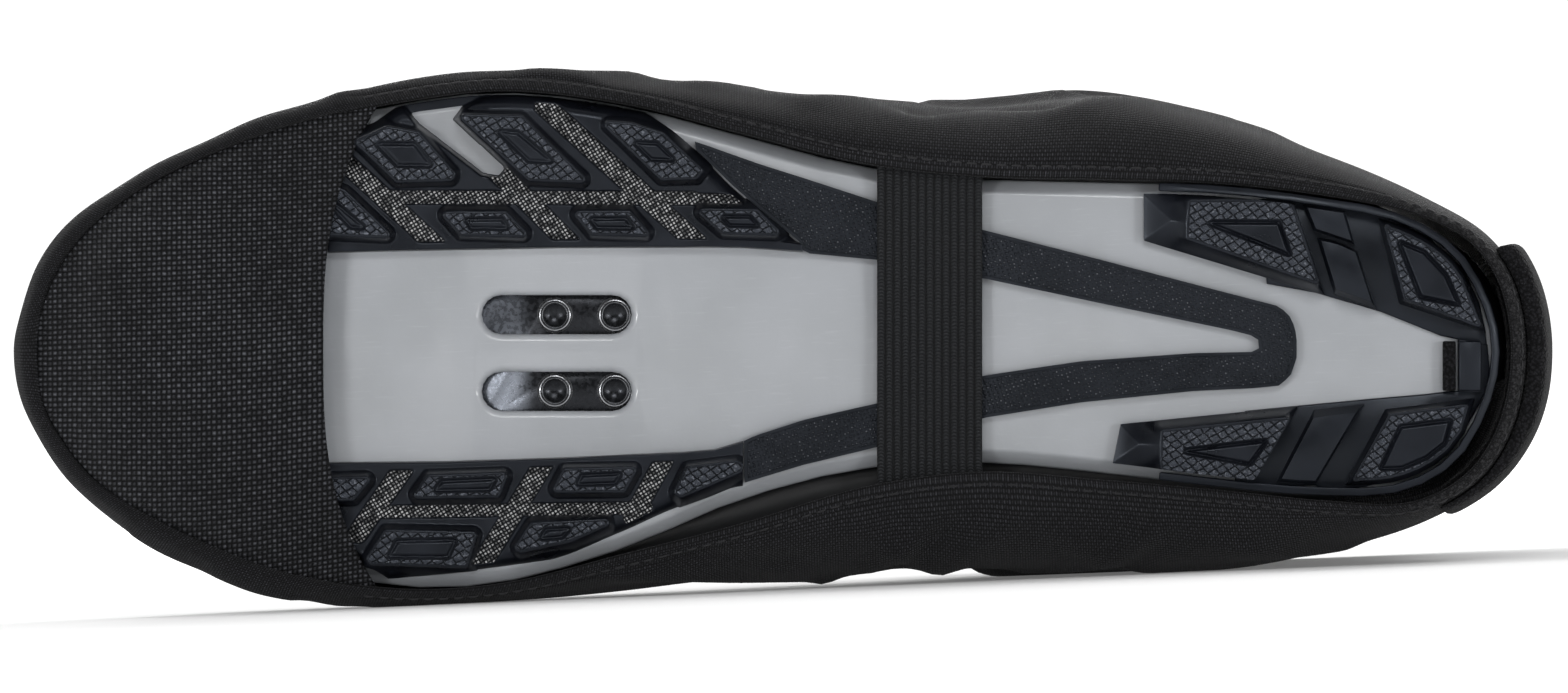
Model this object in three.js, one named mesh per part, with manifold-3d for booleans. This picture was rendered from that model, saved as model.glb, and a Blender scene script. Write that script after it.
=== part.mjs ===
// Cycling overshoe for the left foot, worn on its shoe and lying on its inner side.
// Shoe frame in mm: x from toe to heel, y from the outer side (-) to the inner side (+), z up from the tread.
import * as THREE from 'three';
import Module from 'manifold-3d';
import { mergeVertices } from 'three/addons/utils/BufferGeometryUtils.js';

const wasm = await Module();
wasm.setup();

// Driving sizes of the overshoe
const SKIN_LENGTH = 281.9;
const OUTER_HALF_WIDTH = 52.2;
const INNER_HALF_WIDTH = 47.3;
const COLLAR_HEIGHT = 151;
const TOE_SPRING = 11;
const TOE_SPRING_END = 80;
const ARCH_LIFT = 2.6;
const ARCH_START = 126;
const ARCH_END = 200;
const HEM_TOE_SETBACK = 4.1;
const HEM_HEEL_SETBACK = 4.1;
const SHAFT_FRONT_ROUNDING = 54;
const ROOF_POWER = 2.3;
const SETTLE_LEVEL = 4;
const SHAFT_LEVEL = 8.5;
const SKIN_WALL = 1.5;
const FIT_GAP = 0.3;
const CURVE_GAP = 0.6;

// Closure at the back
const FLAP_GAP = 0.4;
const FLAP_THICKNESS = 3.2;
const LOOP_STRIP_THICKNESS = 2;

// Toe panel
const PANEL_THICKNESS = 1.5;
const PANEL_DROP = 4.6;
const PANEL_TOE_GAP = 1;
const PANEL_CENTRE_LENGTH = 57;
const PANEL_SIDE_LENGTH = 67;

// Elastic strap under the arch
const STRAP_START = 160;
const STRAP_WIDTH = 19.4;
const STRAP_THICKNESS = 1.1;
const STRAP_RIB_HEIGHT = 0.45;
const STRAP_RIBS = 12;
const STRAP_TUCK_GAP = 0.8;

// Shoe
const SHOE_WALL = 2;
const SHOE_HEEL_SLACK = 2.6;
const SOLE_TOE_SETBACK = 5.2;
const SOLE_HEEL_SETBACK = 6.9;
const HEM_CLEARANCE = 0.5;
const INSOLE_THICKNESS = 3;
const INSOLE_INSET = 3.4;

// Heights of the sole layers, down to up, from the tips of the lugs
const CHANNEL_HEIGHT = 4;
const BAND_HEIGHT = 4.5;
const TREAD_TOP = 5.7;
const PLATE_BOTTOM = 6;
const PLATE_EDGE = 8.2;
const PLATE_TOP = 11;
const PLATE_BEVEL = 2.4;

// Cleat slots and the nut plate over them
const SLOT_START = 86.9;
const SLOT_LENGTH = 27.7;
const SLOT_WIDTH = 7.2;
const SLOT_SPACING = 14.2;
const SLOT_CENTRE_ACROSS = 0.3;
const SLOT_LIP = 0.9;
const SLOT_END_STEPS = 8;
const NUT_PLATE_LENGTH = 40;
const NUT_PLATE_WIDTH = 30;
const NUT_PLATE_THICKNESS = 1.6;
const NUT_PLATE_BASE = 8.6;
const NUT_PLATE_CORNER = 1.4;
const NUT_PLATE_SHIFT = 5.2;
const HOLE_PITCH_ALONG = 11.1;
const HOLE_PITCH_ACROSS = 14;
const HOLE_RADIUS = 2.1;
const BOSS_RADIUS = 2.8;
const BOSS_HEIGHT = 0.9;

// Rubber rim round the heel
const RIM_WIDTH = 1.5;
const RIM_START = 212;

// Mesh density
const SHELL_STEPS = 52;
const STATION_STEP = 8;

// Rows of named numbers from the names of the columns and the numbers of each row
function table(names, rows) {
  return rows.map((row) => Object.fromEntries(names.map((name, i) => [name, row[i]])));
}

// Outlines from below, each along its own length, as shares of the half width on that side.
const PLAN = table(
  ['along', 'skirtOuter', 'skirtInner', 'hemOuter', 'hemInner', 'soleOuter', 'soleInner'],
  [
    [0, 0, 0, 0, 0, 0, 0],
    [0.004, 0.12, 0.167, 0.15, 0.19, 0.167, 0.167],
    [0.016, 0.302, 0.319, 0.3, 0.333, 0.315, 0.3],
    [0.04, 0.468, 0.525, 0.455, 0.502, 0.46, 0.46],
    [0.075, 0.601, 0.708, 0.585, 0.64, 0.58, 0.6],
    [0.12, 0.723, 0.841, 0.7, 0.765, 0.68, 0.72],
    [0.18, 0.852, 0.94, 0.815, 0.88, 0.79, 0.84],
    [0.25, 0.955, 0.993, 0.895, 0.94, 0.88, 0.92],
    [0.32, 0.995, 0.979, 0.934, 0.915, 0.917, 0.9],
    [0.4, 0.977, 0.935, 0.886, 0.802, 0.87, 0.77],
    [0.48, 0.937, 0.886, 0.781, 0.683, 0.765, 0.58],
    [0.56, 0.888, 0.858, 0.678, 0.545, 0.66, 0.463],
    [0.64, 0.87, 0.856, 0.631, 0.485, 0.61, 0.435],
    [0.72, 0.898, 0.856, 0.621, 0.515, 0.6, 0.47],
    [0.8, 0.817, 0.856, 0.606, 0.555, 0.59, 0.525],
    [0.87, 0.685, 0.775, 0.565, 0.595, 0.55, 0.56],
    [0.93, 0.54, 0.66, 0.5, 0.6, 0.49, 0.55],
    [0.97, 0.41, 0.51, 0.4, 0.48, 0.37, 0.43],
    [0.992, 0.24, 0.29, 0.24, 0.28, 0.19, 0.22],
    [1, 0, 0, 0, 0, 0, 0],
  ],
);

// Height of the hem over the lug tips and of the widest line over the hem, as shares of the collar height
const EDGE_HEIGHTS = [
  { along: 0, hem: 0.02, widest: 0.055 },
  { along: 0.2, hem: 0.02, widest: 0.07 },
  { along: 0.36, hem: 0.023, widest: 0.085 },
  { along: 0.5, hem: 0.008, widest: 0.11 },
  { along: 0.62, hem: 0.004, widest: 0.13 },
  { along: 0.74, hem: 0.018, widest: 0.14 },
  { along: 1, hem: 0.018, widest: 0.14 },
];

// Front and back line of the shell, level by level, as shares of its length and of the collar height
const PROFILE = [
  { level: 0, frontX: 0, frontZ: 0.146, rearX: 1, rearZ: 0.16 },
  { level: 1, frontX: 0.005, frontZ: 0.19, rearX: 1, rearZ: 0.22 },
  { level: 2, frontX: 0.024, frontZ: 0.24, rearX: 0.999, rearZ: 0.28 },
  { level: 3, frontX: 0.07, frontZ: 0.292, rearX: 0.996, rearZ: 0.335 },
  { level: 4, frontX: 0.145, frontZ: 0.34, rearX: 0.992, rearZ: 0.385 },
  { level: 5, frontX: 0.24, frontZ: 0.395, rearX: 0.988, rearZ: 0.43 },
  { level: 6, frontX: 0.34, frontZ: 0.46, rearX: 0.984, rearZ: 0.485 },
  { level: 7, frontX: 0.435, frontZ: 0.54, rearX: 0.982, rearZ: 0.545 },
  { level: 8, frontX: 0.515, frontZ: 0.635, rearX: 0.982, rearZ: 0.62 },
  { level: 9, frontX: 0.57, frontZ: 0.735, rearX: 0.984, rearZ: 0.715 },
  { level: 10, frontX: 0.602, frontZ: 0.83, rearX: 0.987, rearZ: 0.81 },
  { level: 11, frontX: 0.62, frontZ: 0.92, rearX: 0.99, rearZ: 0.91 },
  { level: 12, frontX: 0.632, frontZ: 1, rearX: 0.993, rearZ: 1 },
];
const HEM_LEVEL = -3;
const COLLAR_LEVEL = 12;
const SHOE_COLLAR_LEVEL = 7;
const LEVELS = Array.from({ length: COLLAR_LEVEL - HEM_LEVEL + 1 }, (_, i) => HEM_LEVEL + i);

const clamp = (value, low = 0, high = 1) => Math.min(high, Math.max(low, value));
const mix = (from, to, share) => from + (to - from) * share;
const smooth = (value, low, high) => {
  const share = clamp((value - low) / (high - low));
  return share * share * (3 - 2 * share);
};
const roundShare = (along) => Math.acos(1 - 2 * clamp(along)) / Math.PI;
const same = (value) => value;

// Smaller of two shares, rounded where they cross and exact where both are full
function softMin(first, second) {
  const width = 0.35 * (1 - Math.min(first, second)) + 1e-6;
  const lean = clamp(0.5 + 0.5 * (second - first) / width);
  return mix(second, first, lean) - width * lean * (1 - lean);
}

// Smooth curve through one column of a table, read at a value of its key column
function readCurve(rows, key, column, at, warp = same) {
  const place = warp(clamp(at, rows[0][key], rows[rows.length - 1][key]));
  let index = 0;
  while (index < rows.length - 2 && warp(rows[index + 1][key]) < place) index += 1;
  const spot = (i) => warp(rows[clamp(i, 0, rows.length - 1)][key]);
  const height = (i) => rows[clamp(i, 0, rows.length - 1)][column];
  const slope = (i) => (height(i + 1) - height(i - 1)) / (spot(i + 1) - spot(i - 1));
  const span = spot(index + 1) - spot(index);
  const t = (place - spot(index)) / span;
  const rise = t * t * (3 - 2 * t);
  const bend = t * (1 - t);
  return mix(height(index), height(index + 1), rise)
    + span * bend * ((1 - t) * slope(index) - t * slope(index + 1));
}

const sideName = (side) => (side < 0 ? 'Outer' : 'Inner');
const halfWidth = (side) => (side < 0 ? OUTER_HALF_WIDTH : INNER_HALF_WIDTH);
const acrossToY = (across) => across * halfWidth(across);
const alongToX = (along) => along * SKIN_LENGTH;

function outlineHalf(name, side, along) {
  return halfWidth(side) * readCurve(PLAN, 'along', name + sideName(side), along, roundShare);
}

// How far the sole's layers are raised over the flat tread by toe spring and arch
function lift(x) {
  const toe = clamp((TOE_SPRING_END - x) / TOE_SPRING_END);
  const arch = Math.sin(Math.PI * clamp((x - ARCH_START) / (ARCH_END - ARCH_START)));
  return TOE_SPRING * toe * toe + ARCH_LIFT * arch * arch;
}

const hemHeight = (x) => lift(x) + COLLAR_HEIGHT * readCurve(EDGE_HEIGHTS, 'along', 'hem', x / SKIN_LENGTH);
const widestHeight = (x) => hemHeight(x)
  + COLLAR_HEIGHT * readCurve(EDGE_HEIGHTS, 'along', 'widest', x / SKIN_LENGTH);

// Distance of the hem from the centre line, at a distance x from the toe
function hemHalf(side, x) {
  const start = HEM_TOE_SETBACK;
  const end = SKIN_LENGTH - HEM_HEEL_SETBACK;
  return outlineHalf('hem', side, (x - start) / (end - start));
}

// The sole's edge lies inside its own outline and inside the hem
function soleHalf(side, x) {
  const start = SOLE_TOE_SETBACK;
  const end = SKIN_LENGTH - SOLE_HEEL_SETBACK;
  const own = outlineHalf('sole', side, (x - start) / (end - start));
  return Math.max(0, Math.min(own, hemHalf(side, x) - HEM_CLEARANCE));
}

const profileAt = (column, level) => readCurve(PROFILE, 'level', column, level);

// Height of the front line of the shell over a point x: toe box, instep, front of the shaft
function topLine(x) {
  const share = x / SKIN_LENGTH;
  const last = PROFILE[PROFILE.length - 1];
  const steep = 30;
  if (share >= last.frontX) return COLLAR_HEIGHT * last.frontZ + (x - alongToX(last.frontX)) * steep;
  return COLLAR_HEIGHT * readCurve(PROFILE, 'frontX', 'frontZ', share);
}

// Point of the shell's outer surface. turn runs round the shoe: 0 at the toe, 0.5 at the heel,
// the outer side first. level runs from the hem to the widest line at 0 and on to the collar.
function skinPoint(turn, level) {
  const round = ((turn % 1) + 1) % 1;
  const side = round < 0.5 ? -1 : 1;
  const along = (1 - Math.cos(2 * Math.PI * round)) / 2;
  if (level < 0) {
    const start = HEM_TOE_SETBACK;
    const hemX = mix(start, SKIN_LENGTH - HEM_HEEL_SETBACK, along);
    const hem = new THREE.Vector3(hemX, side * outlineHalf('hem', side, along), hemHeight(hemX));
    const widest = skinPoint(turn, 0);
    const angle = (1 - level / HEM_LEVEL) * Math.PI / 2;
    const out = Math.sin(angle);
    const up = 1 - Math.cos(angle);
    return new THREE.Vector3(mix(hem.x, widest.x, out), mix(hem.y, widest.y, out), mix(hem.z, widest.z, up));
  }
  const frontX = alongToX(profileAt('frontX', level));
  const rearX = alongToX(profileAt('rearX', level));
  const x = mix(frontX, rearX, along);
  const straight = (at) => COLLAR_HEIGHT * mix(profileAt('frontZ', at), profileAt('rearZ', at), along);
  const settle = clamp(1 - level / SETTLE_LEVEL);
  const z = straight(level) + (widestHeight(x) - straight(0)) * settle;
  const waist = widestHeight(x);
  const climb = clamp((z - waist) / Math.max(1, topLine(x) - waist));
  const roof = Math.sqrt(Math.max(0, 1 - climb ** ROOF_POWER));
  const back = clamp((x - frontX) / SHAFT_FRONT_ROUNDING);
  const oval = Math.sqrt(1 - (1 - back) ** 2);
  const shaft = smooth(level, SETTLE_LEVEL, SHAFT_LEVEL);
  const closure = softMin(roof, mix(1, oval, shaft));
  const y = side * outlineHalf('skirt', side, x / rearX) * closure;
  return new THREE.Vector3(x, along < 1e-6 || along > 1 - 1e-6 ? 0 : y, z);
}

// Point at a depth below the shell's outer surface, measured square to it
function skinDepth(turn, level, depth) {
  const point = skinPoint(turn, level);
  if (depth === 0) return point;
  const reach = 0.004;
  const step = 0.12;
  const around = skinPoint(turn + reach, level).sub(skinPoint(turn - reach, level));
  const low = clamp(level - step, HEM_LEVEL, COLLAR_LEVEL);
  const high = clamp(level + step, HEM_LEVEL, COLLAR_LEVEL);
  const upward = skinPoint(turn, high).sub(skinPoint(turn, low));
  const outward = around.cross(upward).normalize();
  return point.addScaledVector(outward, -depth);
}

// Solid helpers
function geometryFrom(points, faces) {
  const geometry = new THREE.BufferGeometry();
  const numbers = points.flatMap((point) => point.toArray());
  geometry.setAttribute('position', new THREE.Float32BufferAttribute(numbers, 3));
  let volume = 0;
  for (const [a, b, c] of faces) volume += points[a].dot(points[b].clone().cross(points[c]));
  const outward = volume < 0 ? faces.map(([a, b, c]) => [a, c, b]) : faces;
  geometry.setIndex(outward.flat());
  return geometry;
}

// Triangles that close a ring of points, in the ring's own order or against it
function capFaces(ring, offset, alongRing) {
  const normal = new THREE.Vector3();
  ring.forEach((point, i) => normal.add(point.clone().cross(ring[(i + 1) % ring.length])));
  const planes = { x: ['y', 'z'], y: ['z', 'x'], z: ['x', 'y'] };
  const larger = (best, name) => (Math.abs(normal[name]) > Math.abs(normal[best]) ? name : best);
  const axis = Object.keys(planes).reduce(larger);
  const [across, upward] = planes[axis];
  const flat = ring.map((point) => new THREE.Vector2(point[across], point[upward]));
  const ringArea = THREE.ShapeUtils.area(flat);
  return THREE.ShapeUtils.triangulateShape(flat, []).map((triangle) => {
    const inOrder = THREE.ShapeUtils.area(triangle.map((i) => flat[i])) * ringArea > 0;
    const corners = triangle.map((i) => offset + i);
    return inOrder === alongRing ? corners : corners.reverse();
  });
}

// Closed solid from rings of points. Each ring has the same count; the last joins the first if looped.
// A looped solid's second half is its inside, split along the same diagonals as its outside.
function solidFromRings(rings, looped) {
  const count = rings[0].length;
  const points = rings.flat();
  const faces = [];
  const spans = looped ? rings.length : rings.length - 1;
  for (let k = 0; k < spans; k += 1) {
    for (let i = 0; i < count; i += 1) {
      const low = k * count;
      const high = ((k + 1) % rings.length) * count;
      const next = (i + 1) % count;
      const inside = looped && k >= rings.length / 2;
      if (inside) faces.push([low + i, low + next, high + i], [low + next, high + next, high + i]);
      else faces.push([low + i, low + next, high + next], [low + i, high + next, high + i]);
    }
  }
  if (!looped) {
    faces.push(...capFaces(rings[0], 0, false));
    faces.push(...capFaces(rings[rings.length - 1], (rings.length - 1) * count, true));
  }
  return geometryFrom(points, faces);
}

// Closed sheet with a wall: a grid of outer points and the matching grid of inner points
function solidFromSheets(outer, inner) {
  const rows = outer.length;
  const columns = outer[0].length;
  const points = [...outer.flat(), ...inner.flat()];
  const under = rows * columns;
  const faces = [];
  const quad = (a, b, c, d) => faces.push([a, b, c], [a, c, d]);
  for (let r = 0; r < rows - 1; r += 1) {
    for (let c = 0; c < columns - 1; c += 1) {
      const a = r * columns + c;
      quad(a, a + 1, a + columns + 1, a + columns);
      quad(under + a + columns + 1, under + a + 1, under + a, under + a + columns);
    }
  }
  for (let c = 0; c < columns - 1; c += 1) {
    const end = (rows - 1) * columns + c;
    quad(c + 1, c, under + c, under + c + 1);
    quad(end, end + 1, under + end + 1, under + end);
  }
  for (let r = 0; r < rows - 1; r += 1) {
    const left = r * columns;
    const right = left + columns - 1;
    quad(left, left + columns, under + left + columns, under + left);
    quad(right + columns, right, under + right, under + right + columns);
  }
  return geometryFrom(points, faces);
}

function toSolid(geometry) {
  const bare = geometry.clone();
  for (const name of ['normal', 'uv']) if (bare.getAttribute(name)) bare.deleteAttribute(name);
  const merged = mergeVertices(bare, 1e-5);
  return new wasm.Manifold(new wasm.Mesh({
    numProp: 3,
    vertProperties: new Float32Array(merged.getAttribute('position').array),
    triVerts: new Uint32Array(merged.index.array),
  }));
}

function toGeometry(solid) {
  const mesh = solid.getMesh();
  const geometry = new THREE.BufferGeometry();
  geometry.setAttribute('position', new THREE.Float32BufferAttribute(mesh.vertProperties, 3));
  geometry.setIndex([...mesh.triVerts]);
  return geometry;
}

const joined = (geometries) => geometries.map(toSolid).reduce((sum, next) => sum.add(next));
const cut = (solid, geometries) => geometries.map(toSolid).reduce((rest, next) => rest.subtract(next), solid);

// Frustum between a lower and an upper outline of as many points
function frustum(lowOutline, lowZ, highOutline, highZ) {
  const ring = (outline, z) => outline.map(([x, y]) => new THREE.Vector3(x, y, z));
  return solidFromRings([ring(lowOutline, lowZ), ring(highOutline, highZ)], false);
}

const prism = (outline, lowZ, highZ) => frustum(outline, lowZ, outline, highZ);

// Places along x from start to end, no further apart than a station step
function stations(start, end, step = STATION_STEP) {
  const count = Math.max(1, Math.ceil((end - start) / step));
  return Array.from({ length: count + 1 }, (_, i) => mix(start, end, i / count));
}

// Slab between two edges given as functions of x, raised with the sole
function slab(places, outerEdge, innerEdge, lowZ, highZ) {
  const rings = places.map((x) => {
    const base = lift(x);
    const [from, to] = [outerEdge(x), innerEdge(x)];
    return [[from, lowZ], [to, lowZ], [to, highZ], [from, highZ]]
      .map(([y, z]) => new THREE.Vector3(x, y, z + base));
  });
  return solidFromRings(rings, false);
}

function part(name, geometry, finish) {
  const material = new THREE.MeshStandardMaterial(finish);
  const mesh = new THREE.Mesh(geometry.index ? geometry.toNonIndexed() : geometry, material);
  mesh.name = name;
  return mesh;
}

const FABRIC = { color: 0x242427, roughness: 0.85, metalness: 0 };
const WEAVE = { color: 0x1d1f22, roughness: 0.8, metalness: 0 };
const ELASTIC = { color: 0x141618, roughness: 0.75, metalness: 0 };
const RUBBER = { color: 0x1c1f26, roughness: 0.5, metalness: 0 };
const PLATE = { color: 0xaaaeb3, roughness: 0.4, metalness: 0 };
const STEEL = { color: 0x8b8f94, roughness: 0.35, metalness: 1 };
const SYNTHETIC = { color: 0x18191b, roughness: 0.45, metalness: 0 };
const FOAM = { color: 0x2b2c2e, roughness: 0.9, metalness: 0 };

// Overshoe: ring-shaped shell from the hem to the collar
const turnsRound = Array.from({ length: SHELL_STEPS }, (_, i) => i / SHELL_STEPS);

function overshoeUpper() {
  const outer = LEVELS.map((level) => turnsRound.map((turn) => skinPoint(turn, level)));
  const inner = LEVELS.map((level) => turnsRound.map((turn) => skinDepth(turn, level, SKIN_WALL)));
  return part('overshoe_upper', solidFromRings([...outer, ...inner.reverse()], true), FABRIC);
}

// Share of the half width at which the toe panel's surface is read, and how far it hangs under the hem
const PANEL_BULGE_POWER = 4;
const PANEL_BULGE_END = 20;
function panelHeight(x, share) {
  const bulge = (1 - Math.abs(share) ** PANEL_BULGE_POWER) * smooth(x, HEM_TOE_SETBACK, PANEL_BULGE_END);
  return hemHeight(x) - PANEL_DROP * bulge;
}

// The panel is longer at its sides than on the centre line
const panelLength = (share) => mix(PANEL_CENTRE_LENGTH, PANEL_SIDE_LENGTH, Math.abs(share) ** 3);

function toePanel() {
  const shares = Array.from({ length: 15 }, (_, i) => Math.sin(mix(-1, 1, i / 14) * Math.PI / 2));
  const front = HEM_TOE_SETBACK + PANEL_TOE_GAP + 2 * CURVE_GAP;
  const rows = 11;
  const sheet = (height) => Array.from({ length: rows }, (_, r) => shares.map((share) => {
    const opening = 1 - Math.cos(r / (rows - 1) * Math.PI / 2);
    const x = mix(front, panelLength(share), opening);
    const half = Math.min(hemHalf(share, x), hemHalf(share, x - PANEL_TOE_GAP)) - CURVE_GAP;
    return new THREE.Vector3(x, share * half, panelHeight(x, share) + height);
  }));
  return part('toe_panel', solidFromSheets(sheet(0), sheet(PANEL_THICKNESS)), WEAVE);
}

// Part of the shell's surface as a closed sheet between two depths, from one step round the shell to another
function skinPatch(firstStep, lastStep, lowLevel, highLevel, outerDepth, innerDepth) {
  const turns = turnsRound.slice(firstStep, lastStep + 1);
  const levels = LEVELS.filter((level) => level >= lowLevel && level <= highLevel);
  const sheet = (depth) => levels.map((level) => turns.map((turn) => skinDepth(turn, level, depth)));
  return solidFromSheets(sheet(outerDepth), sheet(innerDepth));
}

const heelStep = SHELL_STEPS / 2;
const FLAP_STEPS_OUTER = 2;
const FLAP_STEPS_INNER = 4;
const CLOSURE_LOW_LEVEL = -2;
const CLOSURE_HIGH_LEVEL = 11;

function rearFlap() {
  const outerDepth = -FLAP_GAP - FLAP_THICKNESS;
  const [first, last] = [heelStep - FLAP_STEPS_OUTER, heelStep + FLAP_STEPS_INNER];
  const geometry = skinPatch(first, last, CLOSURE_LOW_LEVEL, CLOSURE_HIGH_LEVEL, outerDepth, -FLAP_GAP);
  return part('rear_flap', geometry, ELASTIC);
}

function rearLoopStrip() {
  const outerDepth = SKIN_WALL + FIT_GAP;
  const innerDepth = outerDepth + LOOP_STRIP_THICKNESS;
  const [first, last] = [heelStep - FLAP_STEPS_OUTER, heelStep + FLAP_STEPS_INNER];
  const geometry = skinPatch(first, last, CLOSURE_LOW_LEVEL, CLOSURE_HIGH_LEVEL, outerDepth, innerDepth);
  return part('rear_loop_strip', geometry, WEAVE);
}

// Elastic strap: ribbed section carried along the underside and up inside the hems
function archStrap() {
  const thickness = STRAP_THICKNESS + STRAP_RIB_HEIGHT;
  const steps = STRAP_RIBS * 2;
  const places = Array.from({ length: steps + 1 }, (_, i) => STRAP_START + STRAP_WIDTH * i / steps);
  const section = [
    ...places.map((x, i) => ({ x, height: i % 2 ? 0 : STRAP_RIB_HEIGHT })),
    { x: places[steps], height: thickness },
    { x: places[0], height: thickness },
  ];
  const flatHeight = BAND_HEIGHT - FIT_GAP - thickness;
  const hemSpan = SKIN_LENGTH - HEM_HEEL_SETBACK - HEM_TOE_SETBACK;
  const turnOf = (side, x) => {
    const round = roundShare((x - HEM_TOE_SETBACK) / hemSpan) / 2;
    return side < 0 ? round : 1 - round;
  };
  const tucked = (side, level) => section.map(({ x, height }) => (
    skinDepth(turnOf(side, x), level, SKIN_WALL + STRAP_TUCK_GAP + height)));
  const under = (share) => section.map(({ x, height }) => {
    const y = share * hemHalf(share, x);
    return new THREE.Vector3(x, y, lift(x) + flatHeight + height);
  });
  const tucks = [-2, -2.5, -2.9];
  const rings = [
    ...tucks.map((level) => tucked(-1, level)),
    ...[-0.93, -0.45, 0.4, 0.9].map(under),
    ...tucks.toReversed().map((level) => tucked(1, level)),
  ];
  return part('arch_strap', solidFromRings(rings, false), ELASTIC);
}

// Shoe: the plate's edge carries the shoe's upper, which follows the shell from the inside
const soleStart = SOLE_TOE_SETBACK;
const soleEnd = SKIN_LENGTH - SOLE_HEEL_SETBACK;
const SHOE_SEAT_INSET = 1;

function shoeDepth(turn) {
  const along = (1 - Math.cos(2 * Math.PI * turn)) / 2;
  return SKIN_WALL + CURVE_GAP + SHOE_HEEL_SLACK * smooth(along, 0.55, 0.85);
}

function shoePoint(turn, level) {
  if (level >= 0) return skinDepth(turn, level, shoeDepth(turn));
  const side = turn < 0.5 ? -1 : 1;
  const along = (1 - Math.cos(2 * Math.PI * turn)) / 2;
  const edgeX = mix(soleStart, soleEnd, along);
  const inset = SHOE_SEAT_INSET * Math.abs(Math.sin(2 * Math.PI * turn));
  const seatX = mix(soleStart + SHOE_SEAT_INSET, soleEnd - SHOE_SEAT_INSET, along);
  const seatY = side * Math.max(0, soleHalf(side, edgeX) - inset);
  const seat = new THREE.Vector3(seatX, seatY, lift(seatX) + PLATE_TOP + CURVE_GAP);
  const widest = shoePoint(turn, 0);
  const angle = (1 - level / HEM_LEVEL) * Math.PI / 2;
  const out = Math.sin(angle);
  const up = 1 - Math.cos(angle);
  return new THREE.Vector3(mix(seat.x, widest.x, out), mix(seat.y, widest.y, out), mix(seat.z, widest.z, up));
}

function shoeInside(turn, level) {
  const reach = 0.004;
  const step = 0.12;
  const wrap = (value) => ((value % 1) + 1) % 1;
  const around = shoePoint(wrap(turn + reach), level).sub(shoePoint(wrap(turn - reach), level));
  const low = level < 0 ? Math.max(HEM_LEVEL, level - step) : level;
  const high = level < 0 ? Math.min(0, level + step) : level + step;
  const upward = shoePoint(turn, high).sub(shoePoint(turn, low));
  return shoePoint(turn, level).addScaledVector(around.cross(upward).normalize(), -SHOE_WALL);
}

function shoeUpper() {
  const levels = LEVELS.filter((level) => level <= SHOE_COLLAR_LEVEL);
  const outer = levels.map((level) => turnsRound.map((turn) => shoePoint(turn, level)));
  const inner = levels.map((level) => turnsRound.map((turn) => shoeInside(turn, level)));
  return part('shoe_upper', solidFromRings([...outer, ...inner.reverse()], true), SYNTHETIC);
}

// Places along the sole, closer together towards its round ends
function roundStations(start, end, count) {
  const share = (i) => (1 - Math.cos(Math.PI * i / count)) / 2;
  return Array.from({ length: count - 1 }, (_, i) => mix(start, end, share(i + 1)));
}

function insole() {
  const reach = SHOE_SEAT_INSET + 2 * CURVE_GAP;
  const places = roundStations(soleStart + reach, soleEnd - reach, 26);
  const edge = (side) => (x) => side * Math.max(1, soleHalf(side, x) - INSOLE_INSET);
  const base = PLATE_TOP + FIT_GAP;
  return part('insole', slab(places, edge(-1), edge(1), base, base + INSOLE_THICKNESS), FOAM);
}

// Slot with round ends, grown by a margin
function slotOutline(centreX, centreY, margin = 0) {
  const radius = SLOT_WIDTH / 2 + margin;
  const reach = (SLOT_LENGTH - SLOT_WIDTH) / 2;
  return [1, -1].flatMap((end) => Array.from({ length: SLOT_END_STEPS + 1 }, (_, i) => {
    const angle = Math.PI * (i / SLOT_END_STEPS - end / 2);
    return [centreX + end * reach + radius * Math.cos(angle), centreY + radius * Math.sin(angle)];
  }));
}

const slotCentreX = SLOT_START + SLOT_LENGTH / 2;
const slotCentresY = [-1, 1].map((side) => SLOT_CENTRE_ACROSS + side * SLOT_SPACING / 2);
const nutPlateX = slotCentreX + NUT_PLATE_SHIFT;

// Rectangle with cut corners, grown by a margin
function nutPlateOutline(margin = 0) {
  const [a, b, c] = [NUT_PLATE_LENGTH / 2 + margin, NUT_PLATE_WIDTH / 2 + margin, NUT_PLATE_CORNER];
  const outer = [[-a + c, -b], [a - c, -b], [a, -b + c]];
  const inner = [[a, b - c], [a - c, b], [-a + c, b], [-a, b - c], [-a, -b + c]];
  return [...outer, ...inner].map(([dx, dy]) => [nutPlateX + dx, SLOT_CENTRE_ACROSS + dy]);
}

function solePlate() {
  const rings = roundStations(soleStart, soleEnd, 44).map((x) => {
    const outer = Math.max(0.5, soleHalf(-1, x));
    const inner = Math.max(0.5, soleHalf(1, x));
    const bevel = Math.min(PLATE_BEVEL, outer / 2, inner / 2);
    const section = [
      [-outer, PLATE_EDGE], [bevel - outer, PLATE_BOTTOM], [inner - bevel, PLATE_BOTTOM],
      [inner, PLATE_EDGE], [inner, PLATE_TOP], [-outer, PLATE_TOP],
    ];
    return section.map(([y, z]) => new THREE.Vector3(x, y, z + lift(x)));
  });
  const slots = slotCentresY.flatMap((y) => {
    const outline = (margin) => slotOutline(slotCentreX, y, margin);
    const through = prism(outline(0), PLATE_BOTTOM - 1, PLATE_TOP + 1);
    const lip = frustum(outline(SLOT_LIP + 0.1), PLATE_BOTTOM - 0.1, outline(0), PLATE_BOTTOM + SLOT_LIP);
    return [through, lip];
  });
  const pocket = prism(nutPlateOutline(FIT_GAP), NUT_PLATE_BASE - FIT_GAP, PLATE_TOP + 1);
  const plate = toSolid(solidFromRings(rings, false));
  return part('sole_plate', toGeometry(cut(plate, [...slots, pocket])), PLATE);
}

function upright(radius, lowZ, highZ, x, y) {
  const cylinder = new THREE.CylinderGeometry(radius, radius, highZ - lowZ, 20);
  cylinder.rotateX(Math.PI / 2);
  return cylinder.translate(x, y, (lowZ + highZ) / 2);
}

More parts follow.
